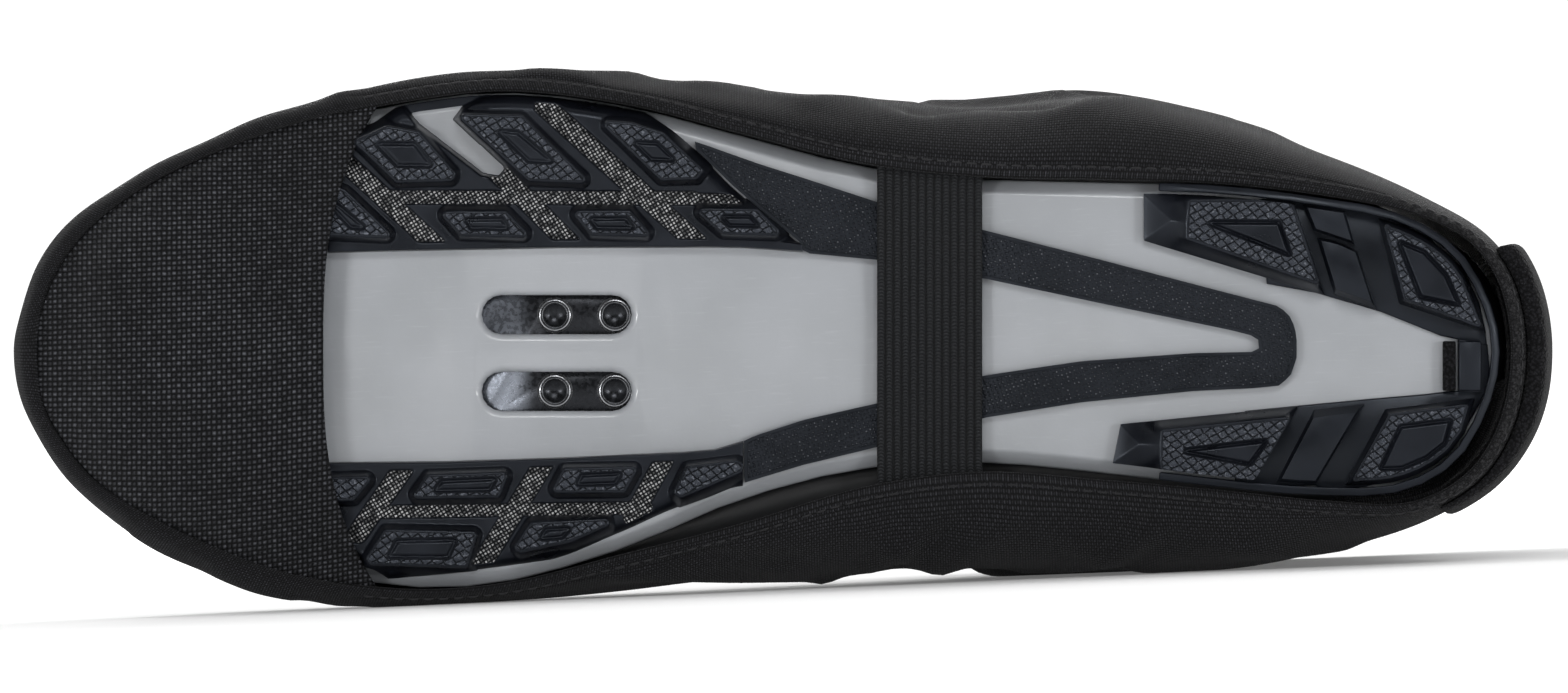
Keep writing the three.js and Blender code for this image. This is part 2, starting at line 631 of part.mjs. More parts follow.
function cleatNutPlate() {
  const places = [-1, 1].flatMap((along) => slotCentresY.map((y) => {
    const side = Math.sign(y - SLOT_CENTRE_ACROSS);
    return [nutPlateX + along * HOLE_PITCH_ALONG / 2, SLOT_CENTRE_ACROSS + side * HOLE_PITCH_ACROSS / 2];
  }));
  const top = NUT_PLATE_BASE + NUT_PLATE_THICKNESS;
  const bossTip = NUT_PLATE_BASE - BOSS_HEIGHT;
  const plate = prism(nutPlateOutline(), NUT_PLATE_BASE, top);
  const bosses = places.map(([x, y]) => upright(BOSS_RADIUS, bossTip, NUT_PLATE_BASE + 0.2, x, y));
  const holes = places.map(([x, y]) => upright(HOLE_RADIUS, bossTip - 1, top + 1, x, y));
  return part('cleat_nut_plate', toGeometry(cut(joined([plate, ...bosses]), holes)), STEEL);
}

// Tread: rubber slabs under the plate, each with its lugs
const TREAD_INSET = 0.4;
const TREAD_START = PANEL_CENTRE_LENGTH + 1.5;
const TREAD_PANEL_INSET = 2.6;
const LUG_SLOPE = 0.8;
const POCKET_DEPTH = 1.3;
const LUG_ROOT = 0.3;

// The tread stays further inside the hem where the toe panel passes beside it
function treadHalf(side, x) {
  const pastPanel = smooth(x, PANEL_SIDE_LENGTH - 1, PANEL_SIDE_LENGTH + 5);
  return Math.max(1, soleHalf(side, x) - mix(TREAD_PANEL_INSET, TREAD_INSET, pastPanel));
}

function toeTread() {
  const places = roundStations(soleStart + 2, 2 * (TREAD_START - 1), 26).filter((x) => x < TREAD_START - 1);
  const rings = [...places, TREAD_START - 2 * CURVE_GAP].map((x) => {
    const outer = treadHalf(-1, x);
    const inner = treadHalf(1, x);
    const shares = [-1, -0.7, -0.35, 0, 0.35, 0.7, 1];
    const low = shares.map((share) => {
      const y = share * (share < 0 ? outer : inner);
      const height = panelHeight(x, y / hemHalf(share, x)) + PANEL_THICKNESS + 2 * CURVE_GAP;
      return new THREE.Vector3(x, y, Math.min(height, lift(x) + TREAD_TOP - 0.4));
    });
    const top = [inner, -outer].map((y) => new THREE.Vector3(x, y, lift(x) + TREAD_TOP));
    return [...low, ...top];
  });
  return part('toe_tread', solidFromRings(rings, false), RUBBER);
}

// Lugs of the forefoot: centre and size as shares of the length, centre across as a share of the half width.
// lean shifts the side nearer the inner foot towards the heel. pocket is its share of the lug's face.
const FOREFOOT_LUGS = [
  { along: 0.2621, across: -0.69, long: 0.0328, wide: 0.0302, lean: 0.0197, pocket: 0.5 },
  { along: 0.337, across: -0.722, long: 0.0355, wide: 0.0414, lean: 0.0388, pocket: 0.42 },
  { along: 0.4224, across: -0.711, long: 0.0296, wide: 0.0348, lean: 0.0328, pocket: 0.42 },
  { along: 0.2375, across: -0.48, long: 0.0235, wide: 0.0263, lean: 0.0105, pocket: 0.4 },
  { along: 0.3107, across: -0.462, long: 0.0427, wide: 0.0131, lean: 0.0099, pocket: 0.5 },
  { along: 0.3942, across: -0.469, long: 0.0368, wide: 0.0125, lean: 0.0099, pocket: 0.5 },
  { along: 0.4697, across: -0.472, long: 0.0328, wide: 0.0125, lean: 0.0092, pocket: 0.5 },
  { along: 0.2275, across: 0.56, long: 0.0145, wide: 0.0115, lean: -0.004, pocket: 0 },
  { along: 0.2943, across: 0.545, long: 0.0552, wide: 0.0138, lean: -0.0053, pocket: 0.5 },
  { along: 0.3823, across: 0.53, long: 0.046, wide: 0.0151, lean: -0.0066, pocket: 0.45 },
  { along: 0.4535, across: 0.505, long: 0.0381, wide: 0.0155, lean: -0.017, pocket: 0 },
  { along: 0.2705, across: 0.762, long: 0.0578, wide: 0.0197, lean: -0.0079, pocket: 0.5 },
  { along: 0.3541, across: 0.72, long: 0.0368, wide: 0.0135, lean: -0.0158, pocket: 0.35 },
];

function leaningOutline(row, margin, scale = 1) {
  const x = alongToX(row.along);
  const y = acrossToY(row.across);
  const halfLong = alongToX(row.long) / 2 * scale + margin;
  const halfWide = alongToX(row.wide) / 2 * scale + margin * 0.8;
  const lean = alongToX(row.lean) / 2 * halfWide / (alongToX(row.wide) / 2);
  return [
    [x - lean - halfLong, y - halfWide], [x - lean + halfLong, y - halfWide],
    [x + lean + halfLong, y + halfWide], [x + lean - halfLong, y + halfWide],
  ];
}

// A lug stands on the channel floor and narrows to its face; its pocket is cut into the face
function lugSolids(row) {
  const base = lift(alongToX(row.along));
  const face = leaningOutline(row, 0);
  const root = leaningOutline(row, LUG_SLOPE * 1.6);
  const body = frustum(face, base, root, base + CHANNEL_HEIGHT + LUG_ROOT);
  const deep = leaningOutline(row, -0.3, row.pocket);
  const mouth = leaningOutline(row, 0.15, row.pocket);
  const pocket = row.pocket && frustum(mouth, base - 0.2, deep, base + POCKET_DEPTH);
  return { body, pocket };
}

// Outer limit of the tread behind the ball, where it turns in towards the arch
const TREAD_TURN = [
  { along: 0.19, outer: 0.86, inner: 0.92 },
  { along: 0.35, outer: 0.94, inner: 0.82 },
  { along: 0.4, outer: 0.885, inner: 0.71 },
  { along: 0.43, outer: 0.795, inner: 0.63 },
  { along: 0.455, outer: 0.68, inner: 0.575 },
  { along: 0.475, outer: 0.575, inner: 0.535 },
  { along: 0.517, outer: 0.385, inner: 0.5 },
];
const TREAD_BORDER = { outer: 0.384, inner: 0.424 };
const TREAD_END = { outer: 0.509, inner: 0.472 };

function turnedHalf(side, x) {
  const column = sideName(side).toLowerCase();
  const turned = halfWidth(side) * readCurve(TREAD_TURN, 'along', column, x / SKIN_LENGTH);
  return Math.min(turned, treadHalf(side, x));
}

// Wedge of bare plate between the first two outer lugs
const WEDGE = { along: 0.306, across: -0.79, long: 0.034, wide: 0.044, lean: 0.036 };

function forefootTread(side) {
  const column = sideName(side).toLowerCase();
  const border = halfWidth(side) * TREAD_BORDER[column];
  const places = stations(TREAD_START, alongToX(TREAD_END[column]), 6);
  const far = (x) => side * Math.max(border + 1.2, turnedHalf(side, x));
  const base = slab(places, far, () => side * border, CHANNEL_HEIGHT, TREAD_TOP);
  const lugs = FOREFOOT_LUGS.filter((row) => Math.sign(row.across) === side).map(lugSolids);
  const pockets = lugs.map((lug) => lug.pocket).filter(Boolean);
  const wedge = side < 0 ? [prism(leaningOutline(WEDGE, 0), -1, TREAD_TOP + 1)] : [];
  const solid = cut(toSolid(base), wedge);
  const whole = lugs.reduce((sum, lug) => sum.add(toSolid(lug.body)), solid);
  return part(`forefoot_tread_${column}`, toGeometry(cut(whole, pockets)), RUBBER);
}

// Band along the arch: two arms that meet behind the heel's front edge. Places are shares as above.
const BAND_OUTER = [
  { along: 0.481, from: -0.686, to: -0.587 },
  { along: 0.4973, from: -0.651, to: -0.487 },
  { along: 0.519, from: -0.615, to: -0.367 },
  { along: 0.5689, from: -0.526, to: -0.331 },
  { along: 0.6392, from: -0.427, to: -0.257 },
  { along: 0.716, from: -0.321, to: -0.168 },
  { along: 0.8001, from: -0.204, to: -0.072 },
  { along: 0.8317, from: -0.158, to: -0.037 },
];
const BAND_INNER = [
  { along: 0.481, from: 0.355, to: 0.519 },
  { along: 0.519, from: 0.284, to: 0.445 },
  { along: 0.5689, from: 0.202, to: 0.372 },
  { along: 0.6392, from: 0.092, to: 0.257 },
  { along: 0.7016, from: 0.038, to: 0.198 },
  { along: 0.7758, from: 0.006, to: 0.155 },
  { along: 0.8146, from: 0.002, to: 0.143 },
  { along: 0.8297, from: -0.04, to: 0.135 },
];
const BAND_TIP = [
  { along: 0.8179, from: -0.175, to: 0.143 },
  { along: 0.8317, from: -0.158, to: 0.132 },
  { along: 0.8389, from: -0.118, to: 0.088 },
  { along: 0.8422, from: -0.058, to: 0.026 },
];

function archBand() {
  const strip = (rows) => {
    const places = rows.flatMap((row, i) => {
      const x = alongToX(row.along);
      return i ? stations(alongToX(rows[i - 1].along), x, 7).slice(1) : [x];
    });
    const edge = (column) => (x) => {
      const index = rows.findIndex((row, i) => i > 0 && x <= alongToX(row.along) + 1e-6);
      const [low, high] = [rows[index - 1], rows[index]];
      const share = (x - alongToX(low.along)) / alongToX(high.along - low.along);
      return mix(acrossToY(low[column]), acrossToY(high[column]), share);
    };
    return slab(places, edge('from'), edge('to'), BAND_HEIGHT, TREAD_TOP);
  };
  return part('arch_band', toGeometry(joined([BAND_OUTER, BAND_INNER, BAND_TIP].map(strip))), RUBBER);
}

// Heel lugs: the side at the rim runs from rimFront to rimBack, the side at the centre from midFront to
// midBack. slope shifts the face's front side towards the heel, and bow rounds the side at the rim.
// x values are shares of the length, y values of the half width.
const HEEL_LUGS = table(
  [
    'name', 'rimFrontX', 'rimFrontY', 'rimBackX', 'rimBackY', 'midFrontX', 'midFrontY',
    'midBackX', 'midBackY', 'slope', 'tip', 'bow', 'pocket',
  ],
  [
    ['heel_tread_outer', 0.7423, -0.58, 0.841, -0.541, 0.7423, -0.392, 0.8608, -0.198, 0.026, 0, 0.02, 0.42],
    ['heel_block_outer', 0.8468, -0.541, 0.8744, -0.512, 0.8534, -0.427, 0.8809, -0.377, 0, 0.004, 0.02, 0],
    ['heel_block_centre', 0.8557, -0.404, 0.8822, -0.355, 0.8672, -0.2, 0.8947, -0.147, 0, 0.004, 0.02, 0],
    ['heel_lug_outer', 0.896, -0.484, 0.9532, -0.3, 0.9098, -0.168, 0.966, -0.069, 0, 0, 0.28, 0.5],
    ['heel_tread_inner', 0.722, 0.476, 0.8149, 0.556, 0.7272, 0.284, 0.8431, 0.215, 0.024, 0, 0.02, 0.42],
    ['heel_block_inner', 0.829, 0.531, 0.8553, 0.531, 0.854, 0.226, 0.8868, 0.202, 0, 0.004, 0.02, 0],
    ['heel_lug_inner', 0.8737, 0.554, 0.953, 0.36, 0.9006, 0.226, 0.9595, 0.182, 0, 0, 0.28, 0.5],
  ],
);
const HEEL_LUG_INSET = 0.84;
const RIM_SIDE_STEPS = 4;
const HEEL_RIM_CLEARANCE = 0.5;

// Largest distance from the centre line that a heel lug may have inside the rim
function insideRim(side, x) {
  const slant = soleHalf(side, x + 0.5) - soleHalf(side, x - 0.5);
  return soleHalf(side, x) - (RIM_WIDTH + HEEL_RIM_CLEARANCE) * Math.hypot(1, slant);
}

function heelOutline(row) {
  const side = Math.sign(row.rimFrontY + row.rimBackY);
  const rimSide = Array.from({ length: RIM_SIDE_STEPS + 1 }, (_, i) => {
    const share = i / RIM_SIDE_STEPS;
    const x = alongToX(mix(row.rimFrontX, row.rimBackX, share));
    const straight = Math.abs(acrossToY(mix(row.rimFrontY, row.rimBackY, share)));
    const bow = 1 + row.bow * Math.sin(Math.PI * share);
    return [x, side * Math.min(straight * bow, insideRim(side, x))];
  });
  const midBack = [alongToX(row.midBackX), acrossToY(row.midBackY)];
  const midFront = [alongToX(row.midFrontX), acrossToY(row.midFrontY)];
  return [...rimSide, midBack, midFront];
}

function heelLug(row) {
  const outline = heelOutline(row);
  const centre = [0, 1].map((axis) => outline.reduce((sum, point) => sum + point[axis], 0) / outline.length);
  const fronts = outline.map((_, i) => Math.max(0, 1 - i / RIM_SIDE_STEPS));
  fronts[outline.length - 1] = 1;
  const scaled = (share, shift = 0) => outline.map(([x, y], i) => (
    [mix(centre[0], x, share) + shift * fronts[i], mix(centre[1], y, share)]));
  const slope = alongToX(row.slope);
  const tip = COLLAR_HEIGHT * row.tip;
  const base = prism(outline, CHANNEL_HEIGHT, TREAD_TOP);
  const body = frustum(scaled(HEEL_LUG_INSET, slope), tip, scaled(0.995), CHANNEL_HEIGHT + LUG_ROOT);
  const whole = joined([base, body]);
  if (!row.pocket) return part(row.name, toGeometry(whole), RUBBER);
  const mouth = scaled(row.pocket + 0.06, slope * 0.4);
  const floor = scaled(row.pocket, slope * 0.4);
  return part(row.name, toGeometry(cut(whole, [frustum(mouth, -0.2, floor, POCKET_DEPTH)])), RUBBER);
}

// Rubber rim round the heel, carried along the sole's edge from the outer side to the inner side
const RIM_LOW = 2;
function heelRim() {
  const startTurn = roundShare((RIM_START - soleStart) / (soleEnd - soleStart)) / 2;
  const edge = (turn) => {
    const x = mix(soleStart, soleEnd, (1 - Math.cos(2 * Math.PI * turn)) / 2);
    const side = turn < 0.5 ? -1 : 1;
    return new THREE.Vector2(x, side * soleHalf(side, x));
  };
  const count = 26;
  const rings = Array.from({ length: count + 1 }, (_, i) => {
    const turn = mix(startTurn, 1 - startTurn, i / count);
    const place = edge(turn);
    const along = edge(turn + 0.003).sub(edge(turn - 0.003)).normalize();
    const inward = new THREE.Vector2(-along.y, along.x);
    const centre = new THREE.Vector2((soleStart + soleEnd) / 2, 0);
    if (inward.dot(centre.sub(place)) < 0) inward.negate();
    const inner = place.clone().addScaledVector(inward, RIM_WIDTH);
    const corners = [[place, RIM_LOW + 0.5], [place, TREAD_TOP], [inner, TREAD_TOP], [inner, RIM_LOW]];
    return corners.map(([spot, z]) => new THREE.Vector3(spot.x, spot.y, z + lift(spot.x)));
  });
  return part('heel_rim', solidFromRings(rings, false), RUBBER);
}

// Bar and block on the centre line behind the bare plate, as shares of the length and the half width
const REAR_BAR = { front: 0.9383, back: 0.9468, outer: -0.0364, inner: 0.1543, low: 3.4 };
const REAR_BLOCK = { front: 0.9486, back: 0.9635, outer: -0.0364, inner: 0.1543, low: 3 };
function rearPiece(name, box, finish) {
  const [front, back] = [box.front, box.back].map(alongToX);
  const [outer, inner] = [box.outer, box.inner].map(acrossToY);
  const corners = [[front, outer], [back, outer], [back, inner], [front, inner]];
  return part(name, prism(corners, box.low, TREAD_TOP), finish);
}

const shoe = new THREE.Group();
shoe.add(
  overshoeUpper(), toePanel(), archStrap(), rearFlap(), rearLoopStrip(),
  shoeUpper(), insole(), solePlate(), cleatNutPlate(),
  toeTread(), forefootTread(-1), forefootTread(1), archBand(),
  ...HEEL_LUGS.map(heelLug), heelRim(),
  rearPiece('heel_rear_bar', REAR_BAR, WEAVE), rearPiece('heel_rear_block', REAR_BLOCK, RUBBER),
);

// The shoe lies on its inner side: the ball and the ankle wall rest on one plane
const BALL_ALONG = 0.26;
const ANKLE_ALONG = 0.79;
const ballDrop = outlineHalf('skirt', 1, BALL_ALONG) - outlineHalf('skirt', 1, ANKLE_ALONG);
const rollOver = Math.atan2(ballDrop, alongToX(ANKLE_ALONG - BALL_ALONG));
shoe.rotation.x = -Math.PI / 2;
const resting = new THREE.Group();
resting.rotation.y = rollOver;
resting.add(shoe);
resting.updateMatrixWorld(true);
const bounds = new THREE.Box3().setFromObject(resting, true);
const middle = bounds.getCenter(new THREE.Vector3());
resting.position.set(-middle.x, -middle.y, -bounds.min.z);

const row = new THREE.Group();
row.add(resting);
export default row;
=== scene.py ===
"""Cycling overshoe for the left foot on its shoe, lying on its inner side with the sole towards the camera.

Shapes are worked out in the shoe's own frame, in millimetres: x from toe to heel, y from the outer side (-)
to the inner side (+), z up from the lug tips. place() carries them to the row frame in metres.
"""

import math
from contextlib import contextmanager

import bmesh
import bpy
import numpy as np
from mathutils import Matrix, Vector


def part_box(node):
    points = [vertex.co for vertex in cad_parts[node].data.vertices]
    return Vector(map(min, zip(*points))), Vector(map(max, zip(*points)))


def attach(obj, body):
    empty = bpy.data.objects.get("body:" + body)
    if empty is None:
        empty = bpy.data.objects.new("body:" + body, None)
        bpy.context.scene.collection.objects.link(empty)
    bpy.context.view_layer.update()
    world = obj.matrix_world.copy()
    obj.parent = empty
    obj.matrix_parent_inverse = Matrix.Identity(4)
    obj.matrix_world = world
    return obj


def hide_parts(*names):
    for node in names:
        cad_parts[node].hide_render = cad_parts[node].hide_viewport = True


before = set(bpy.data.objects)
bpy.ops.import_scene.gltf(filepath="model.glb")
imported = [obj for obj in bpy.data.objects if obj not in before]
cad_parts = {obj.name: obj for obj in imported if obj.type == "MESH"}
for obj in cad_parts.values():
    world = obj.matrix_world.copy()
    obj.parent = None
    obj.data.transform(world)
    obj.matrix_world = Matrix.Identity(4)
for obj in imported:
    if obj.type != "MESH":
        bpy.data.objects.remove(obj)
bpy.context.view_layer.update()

# Sizes shared with the solids, in millimetres
SKIN_LENGTH = 281.9
OUTER_HALF_WIDTH = 52.2
INNER_HALF_WIDTH = 47.3
COLLAR_HEIGHT = 151
TOE_SPRING, TOE_SPRING_END = 11, 80
ARCH_LIFT, ARCH_START, ARCH_END = 2.6, 126, 200
HEM_SETBACK = 4.1
SHAFT_FRONT_ROUNDING = 54
SKIN_WALL = 1.5
SOLE_TOE_SETBACK, SOLE_HEEL_SETBACK = 5.2, 6.9
HEM_CLEARANCE = 0.5
HEM_LEVEL, COLLAR_LEVEL = -3, 12
PAST_COLLAR_STEEPNESS = 30
ELASTIC_RIB, ELASTIC_LOOP = 1.5, 0.62
CHANNEL_HEIGHT, TREAD_TOP = 4, 5.7
SLOT_START, SLOT_LENGTH, SLOT_CENTRE_ACROSS = 86.9, 27.7, 0.3
NUT_PLATE_X = SLOT_START + SLOT_LENGTH / 2 + 5.2
NUT_PLATE_BASE, NUT_PLATE_THICKNESS, BOSS_HEIGHT = 8.6, 1.6, 0.9

# along, skirt outer and inner, hem outer and inner, sole outer and inner, as shares of the half widths
PLAN = np.array([
    [0, 0, 0, 0, 0, 0, 0],
    [0.004, 0.12, 0.167, 0.15, 0.19, 0.167, 0.167],
    [0.016, 0.302, 0.319, 0.3, 0.333, 0.315, 0.3],
    [0.04, 0.468, 0.525, 0.455, 0.502, 0.46, 0.46],
    [0.075, 0.601, 0.708, 0.585, 0.64, 0.58, 0.6],
    [0.12, 0.723, 0.841, 0.7, 0.765, 0.68, 0.72],
    [0.18, 0.852, 0.94, 0.815, 0.88, 0.79, 0.84],
    [0.25, 0.955, 0.993, 0.895, 0.94, 0.88, 0.92],
    [0.32, 0.995, 0.979, 0.934, 0.915, 0.917, 0.9],
    [0.4, 0.977, 0.935, 0.886, 0.802, 0.87, 0.77],
    [0.48, 0.937, 0.886, 0.781, 0.683, 0.765, 0.58],
    [0.56, 0.888, 0.858, 0.678, 0.545, 0.66, 0.463],
    [0.64, 0.87, 0.856, 0.631, 0.485, 0.61, 0.435],
    [0.72, 0.898, 0.856, 0.621, 0.515, 0.6, 0.47],
    [0.8, 0.817, 0.856, 0.606, 0.555, 0.59, 0.525],
    [0.87, 0.685, 0.775, 0.565, 0.595, 0.55, 0.56],
    [0.93, 0.54, 0.66, 0.5, 0.6, 0.49, 0.55],
    [0.97, 0.41, 0.51, 0.4, 0.48, 0.37, 0.43],
    [0.992, 0.24, 0.29, 0.24, 0.28, 0.19, 0.22],
    [1, 0, 0, 0, 0, 0, 0],
])
PLAN_COLUMN = {"skirt": 1, "hem": 3, "sole": 5}

# along, hem height, widest line over the hem, as shares of the collar height
EDGE_HEIGHTS = np.array([
    [0, 0.02, 0.055], [0.2, 0.02, 0.07], [0.36, 0.023, 0.085], [0.5, 0.008, 0.11],
    [0.62, 0.004, 0.13], [0.74, 0.018, 0.14], [1, 0.018, 0.14],
])

# level, front line x and z, back line x and z, as shares of the length and the collar height
PROFILE = np.array([
    [0, 0, 0.146, 1, 0.16], [1, 0.005, 0.19, 1, 0.22], [2, 0.024, 0.24, 0.999, 0.28],
    [3, 0.07, 0.292, 0.996, 0.335], [4, 0.145, 0.34, 0.992, 0.385], [5, 0.24, 0.395, 0.988, 0.43],
    [6, 0.34, 0.46, 0.984, 0.485], [7, 0.435, 0.54, 0.982, 0.545], [8, 0.515, 0.635, 0.982, 0.62],
    [9, 0.57, 0.735, 0.984, 0.715], [10, 0.602, 0.83, 0.987, 0.81], [11, 0.62, 0.92, 0.99, 0.91],
    [12, 0.632, 1, 0.993, 1],
])


def mix(low, high, share):
    return low + (high - low) * share


def smooth(value, low, high):
    share = np.clip((value - low) / (high - low), 0, 1)
    return share * share * (3 - 2 * share)


def round_share(along):
    return np.arccos(1 - 2 * np.clip(along, 0, 1)) / math.pi


def read_curve(keys, values, at):
    """Smooth curve through a column of values, read at a value of the keys."""
    place = np.clip(at, keys[0], keys[-1])
    index = np.clip(np.searchsorted(keys, place, side="left") - 1, 0, len(keys) - 2)
    after = np.minimum(np.arange(len(keys)) + 1, len(keys) - 1)
    before = np.maximum(np.arange(len(keys)) - 1, 0)
    slopes = (values[after] - values[before]) / (keys[after] - keys[before])
    span = keys[index + 1] - keys[index]
    t = (place - keys[index]) / span
    bend = t * (1 - t) * ((1 - t) * slopes[index] - t * slopes[index + 1])
    return mix(values[index], values[index + 1], t * t * (3 - 2 * t)) + span * bend


def outline_half(name, side, along):
    """Distance of an outline from the centre line. side is -1 on the outer side and 1 on the inner side."""
    column = PLAN_COLUMN[name]
    keys, place = round_share(PLAN[:, 0]), round_share(along)
    outer = OUTER_HALF_WIDTH * read_curve(keys, PLAN[:, column], place)
    inner = INNER_HALF_WIDTH * read_curve(keys, PLAN[:, column + 1], place)
    return np.where(np.asarray(side) < 0, outer, inner)


def lift(x):
    toe = np.clip((TOE_SPRING_END - x) / TOE_SPRING_END, 0, 1)
    arch = np.sin(math.pi * np.clip((x - ARCH_START) / (ARCH_END - ARCH_START), 0, 1))
    return TOE_SPRING * toe ** 2 + ARCH_LIFT * arch ** 2


def hem_height(x):
    return lift(x) + COLLAR_HEIGHT * read_curve(EDGE_HEIGHTS[:, 0], EDGE_HEIGHTS[:, 1], x / SKIN_LENGTH)


def widest_height(x):
    return hem_height(x) + COLLAR_HEIGHT * read_curve(EDGE_HEIGHTS[:, 0], EDGE_HEIGHTS[:, 2], x / SKIN_LENGTH)


def hem_half(side, x):
    return outline_half("hem", side, (x - HEM_SETBACK) / (SKIN_LENGTH - 2 * HEM_SETBACK))


def sole_half(side, x):
    along = (x - SOLE_TOE_SETBACK) / (SKIN_LENGTH - SOLE_HEEL_SETBACK - SOLE_TOE_SETBACK)
    own = outline_half("sole", side, along)
    return np.maximum(0, np.minimum(own, hem_half(side, x) - HEM_CLEARANCE))


def top_line(x):
    share, collar_front = x / SKIN_LENGTH, PROFILE[-1, 1]
    over_foot = COLLAR_HEIGHT * read_curve(PROFILE[:, 1], PROFILE[:, 2], share)
    over_shaft = COLLAR_HEIGHT + (x - collar_front * SKIN_LENGTH) * PAST_COLLAR_STEEPNESS
    return np.where(share >= collar_front, over_shaft, over_foot)


def soft_min(first, second):
    width = 0.35 * (1 - np.minimum(first, second)) + 1e-6
    lean = np.clip(0.5 + 0.5 * (second - first) / width, 0, 1)
    return mix(second, first, lean) - width * lean * (1 - lean)


def upper_skin(turn, level):
    """Points of the shell's outside from the widest line, level 0, to the collar, level 12."""
    side = np.where(turn % 1 < 0.5, -1, 1)
    along = (1 - np.cos(2 * math.pi * turn)) / 2
    front_x = SKIN_LENGTH * read_curve(PROFILE[:, 0], PROFILE[:, 1], level)
    rear_x = SKIN_LENGTH * read_curve(PROFILE[:, 0], PROFILE[:, 3], level)
    x = mix(front_x, rear_x, along)

    def straight(at):
        front = read_curve(PROFILE[:, 0], PROFILE[:, 2], at)
        return COLLAR_HEIGHT * mix(front, read_curve(PROFILE[:, 0], PROFILE[:, 4], at), along)

    waist = widest_height(x)
    z = straight(level) + (waist - straight(np.zeros_like(level))) * np.clip(1 - level / 4, 0, 1)
    climb = np.clip((z - waist) / np.maximum(1, top_line(x) - waist), 0, 1)
    roof = np.sqrt(np.maximum(0, 1 - climb ** 2.3))
    back = np.clip((x - front_x) / SHAFT_FRONT_ROUNDING, 0, 1)
    oval = np.sqrt(1 - (1 - back) ** 2)
    closure = soft_min(roof, mix(1, oval, smooth(level, 4, 8.5)))
    y = side * outline_half("skirt", side, x / rear_x) * closure
    y = np.where((along < 1e-6) | (along > 1 - 1e-6), 0, y)
    return np.stack([x, y, z], axis=-1)


def skin(turn, level):
    """Points of the shell's outside. turn is 0 at the toe and 0.5 at the heel, the outer side first."""
    turn, level = np.broadcast_arrays(np.asarray(turn, float), np.asarray(level, float))
    upper = upper_skin(turn, np.maximum(level, 0))
    side = np.where(turn % 1 < 0.5, -1, 1)
    along = (1 - np.cos(2 * math.pi * turn)) / 2
    hem_x = mix(HEM_SETBACK, SKIN_LENGTH - HEM_SETBACK, along)
    hem = np.stack([hem_x, side * outline_half("hem", side, along), hem_height(hem_x)], axis=-1)
    angle = (1 - np.minimum(level, 0) / HEM_LEVEL) * math.pi / 2
    share = np.stack([np.sin(angle), np.sin(angle), 1 - np.cos(angle)], axis=-1)
    return np.where((level < 0)[..., None], mix(hem, upper, share), upper)


def unit(vectors):
    return vectors / np.maximum(np.linalg.norm(vectors, axis=-1, keepdims=True), 1e-9)


def skin_depth(turn, level, depth):
    """Points at a depth below the shell's outside, measured square to it."""
    turn, level, depth = np.broadcast_arrays(*(np.asarray(v, float) for v in (turn, level, depth)))
    around = skin(turn + 0.004, level) - skin(turn - 0.004, level)
    low, high = np.maximum(level - 0.12, HEM_LEVEL), np.minimum(level + 0.12, COLLAR_LEVEL)
    outward = unit(np.cross(around, skin(turn, high) - skin(turn, low)))
    return skin(turn, level) - outward * depth[..., None]


# The shoe frame in the row frame: the roll that rests the ball and the ankle on the floor, and the origin.
# The nut plate's solid tells where the origin is.
BALL_ALONG, ANKLE_ALONG = 0.26, 0.79
_drop = float(outline_half("skirt", 1, BALL_ALONG) - outline_half("skirt", 1, ANKLE_ALONG))
ROLL = math.atan2(_drop, SKIN_LENGTH * (ANKLE_ALONG - BALL_ALONG))
ROTATION = np.array([
    [math.cos(ROLL), -math.sin(ROLL), 0],
    [0, 0, 1],
    [-math.sin(ROLL), -math.cos(ROLL), 0],
])
_nut_low, _nut_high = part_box("cleat_nut_plate")
_nut_level = NUT_PLATE_BASE + (NUT_PLATE_THICKNESS - BOSS_HEIGHT) / 2
_nut_middle = np.array([NUT_PLATE_X, SLOT_CENTRE_ACROSS, _nut_level])
ORIGIN = np.array((_nut_low + _nut_high) / 2) - ROTATION @ _nut_middle / 1000


def place(points):
    """Shoe frame in millimetres to row frame in metres."""
    return np.asarray(points, float) @ ROTATION.T / 1000 + ORIGIN


# Meshes
def linked(name, data):
    """New object in the scene."""
    obj = bpy.data.objects.new(name, data)
    bpy.context.scene.collection.objects.link(obj)
    return obj


@contextmanager
def editing(mesh):
    """A mesh opened as bmesh, and written back at the end."""
    work = bmesh.new()
    work.from_mesh(mesh)
    yield work
    work.to_mesh(mesh)
    work.free()


def mesh_object(name, points, faces, uv=None):
    """Object from points in the shoe frame. uv holds one pair per corner of each face."""
    mesh = bpy.data.meshes.new(name)
    mesh.from_pydata(place(points).tolist(), [], [list(map(int, face)) for face in faces])
    if uv is not None:
        layer = mesh.uv_layers.new(name="cloth")
        layer.data.foreach_set("uv", np.asarray(uv, float).ravel())
    mesh.update()
    mesh.shade_smooth()
    return linked(name, mesh)


def grid_faces(rows, columns, closed_rows=False, closed_columns=False):
    """Quads of a grid of points and, for each corner, its place in the grid without wrapping."""
    row, column = np.arange(rows - (not closed_rows)), np.arange(columns - (not closed_columns))
    r, c = np.meshgrid(row, column, indexing="ij")
    corners = [(r, c), (r, c + 1), (r + 1, c + 1), (r + 1, c)]
    faces = np.stack([(a % rows) * columns + b % columns for a, b in corners], axis=-1).reshape(-1, 4)
    spots = np.stack([np.stack([a, b], axis=-1) for a, b in corners], axis=2).reshape(-1, 4, 2)
    return faces, spots


def grid_object(name, points, closed_rows=False, closed_columns=False, uv=None):
    """Object from a grid of points. uv has one more row or column where the grid is closed."""
    faces, spots = grid_faces(*points.shape[:2], closed_rows, closed_columns)
    corner_uv = None if uv is None else uv[spots[..., 0], spots[..., 1]]
    return mesh_object(name, points.reshape(-1, 3), faces, corner_uv)


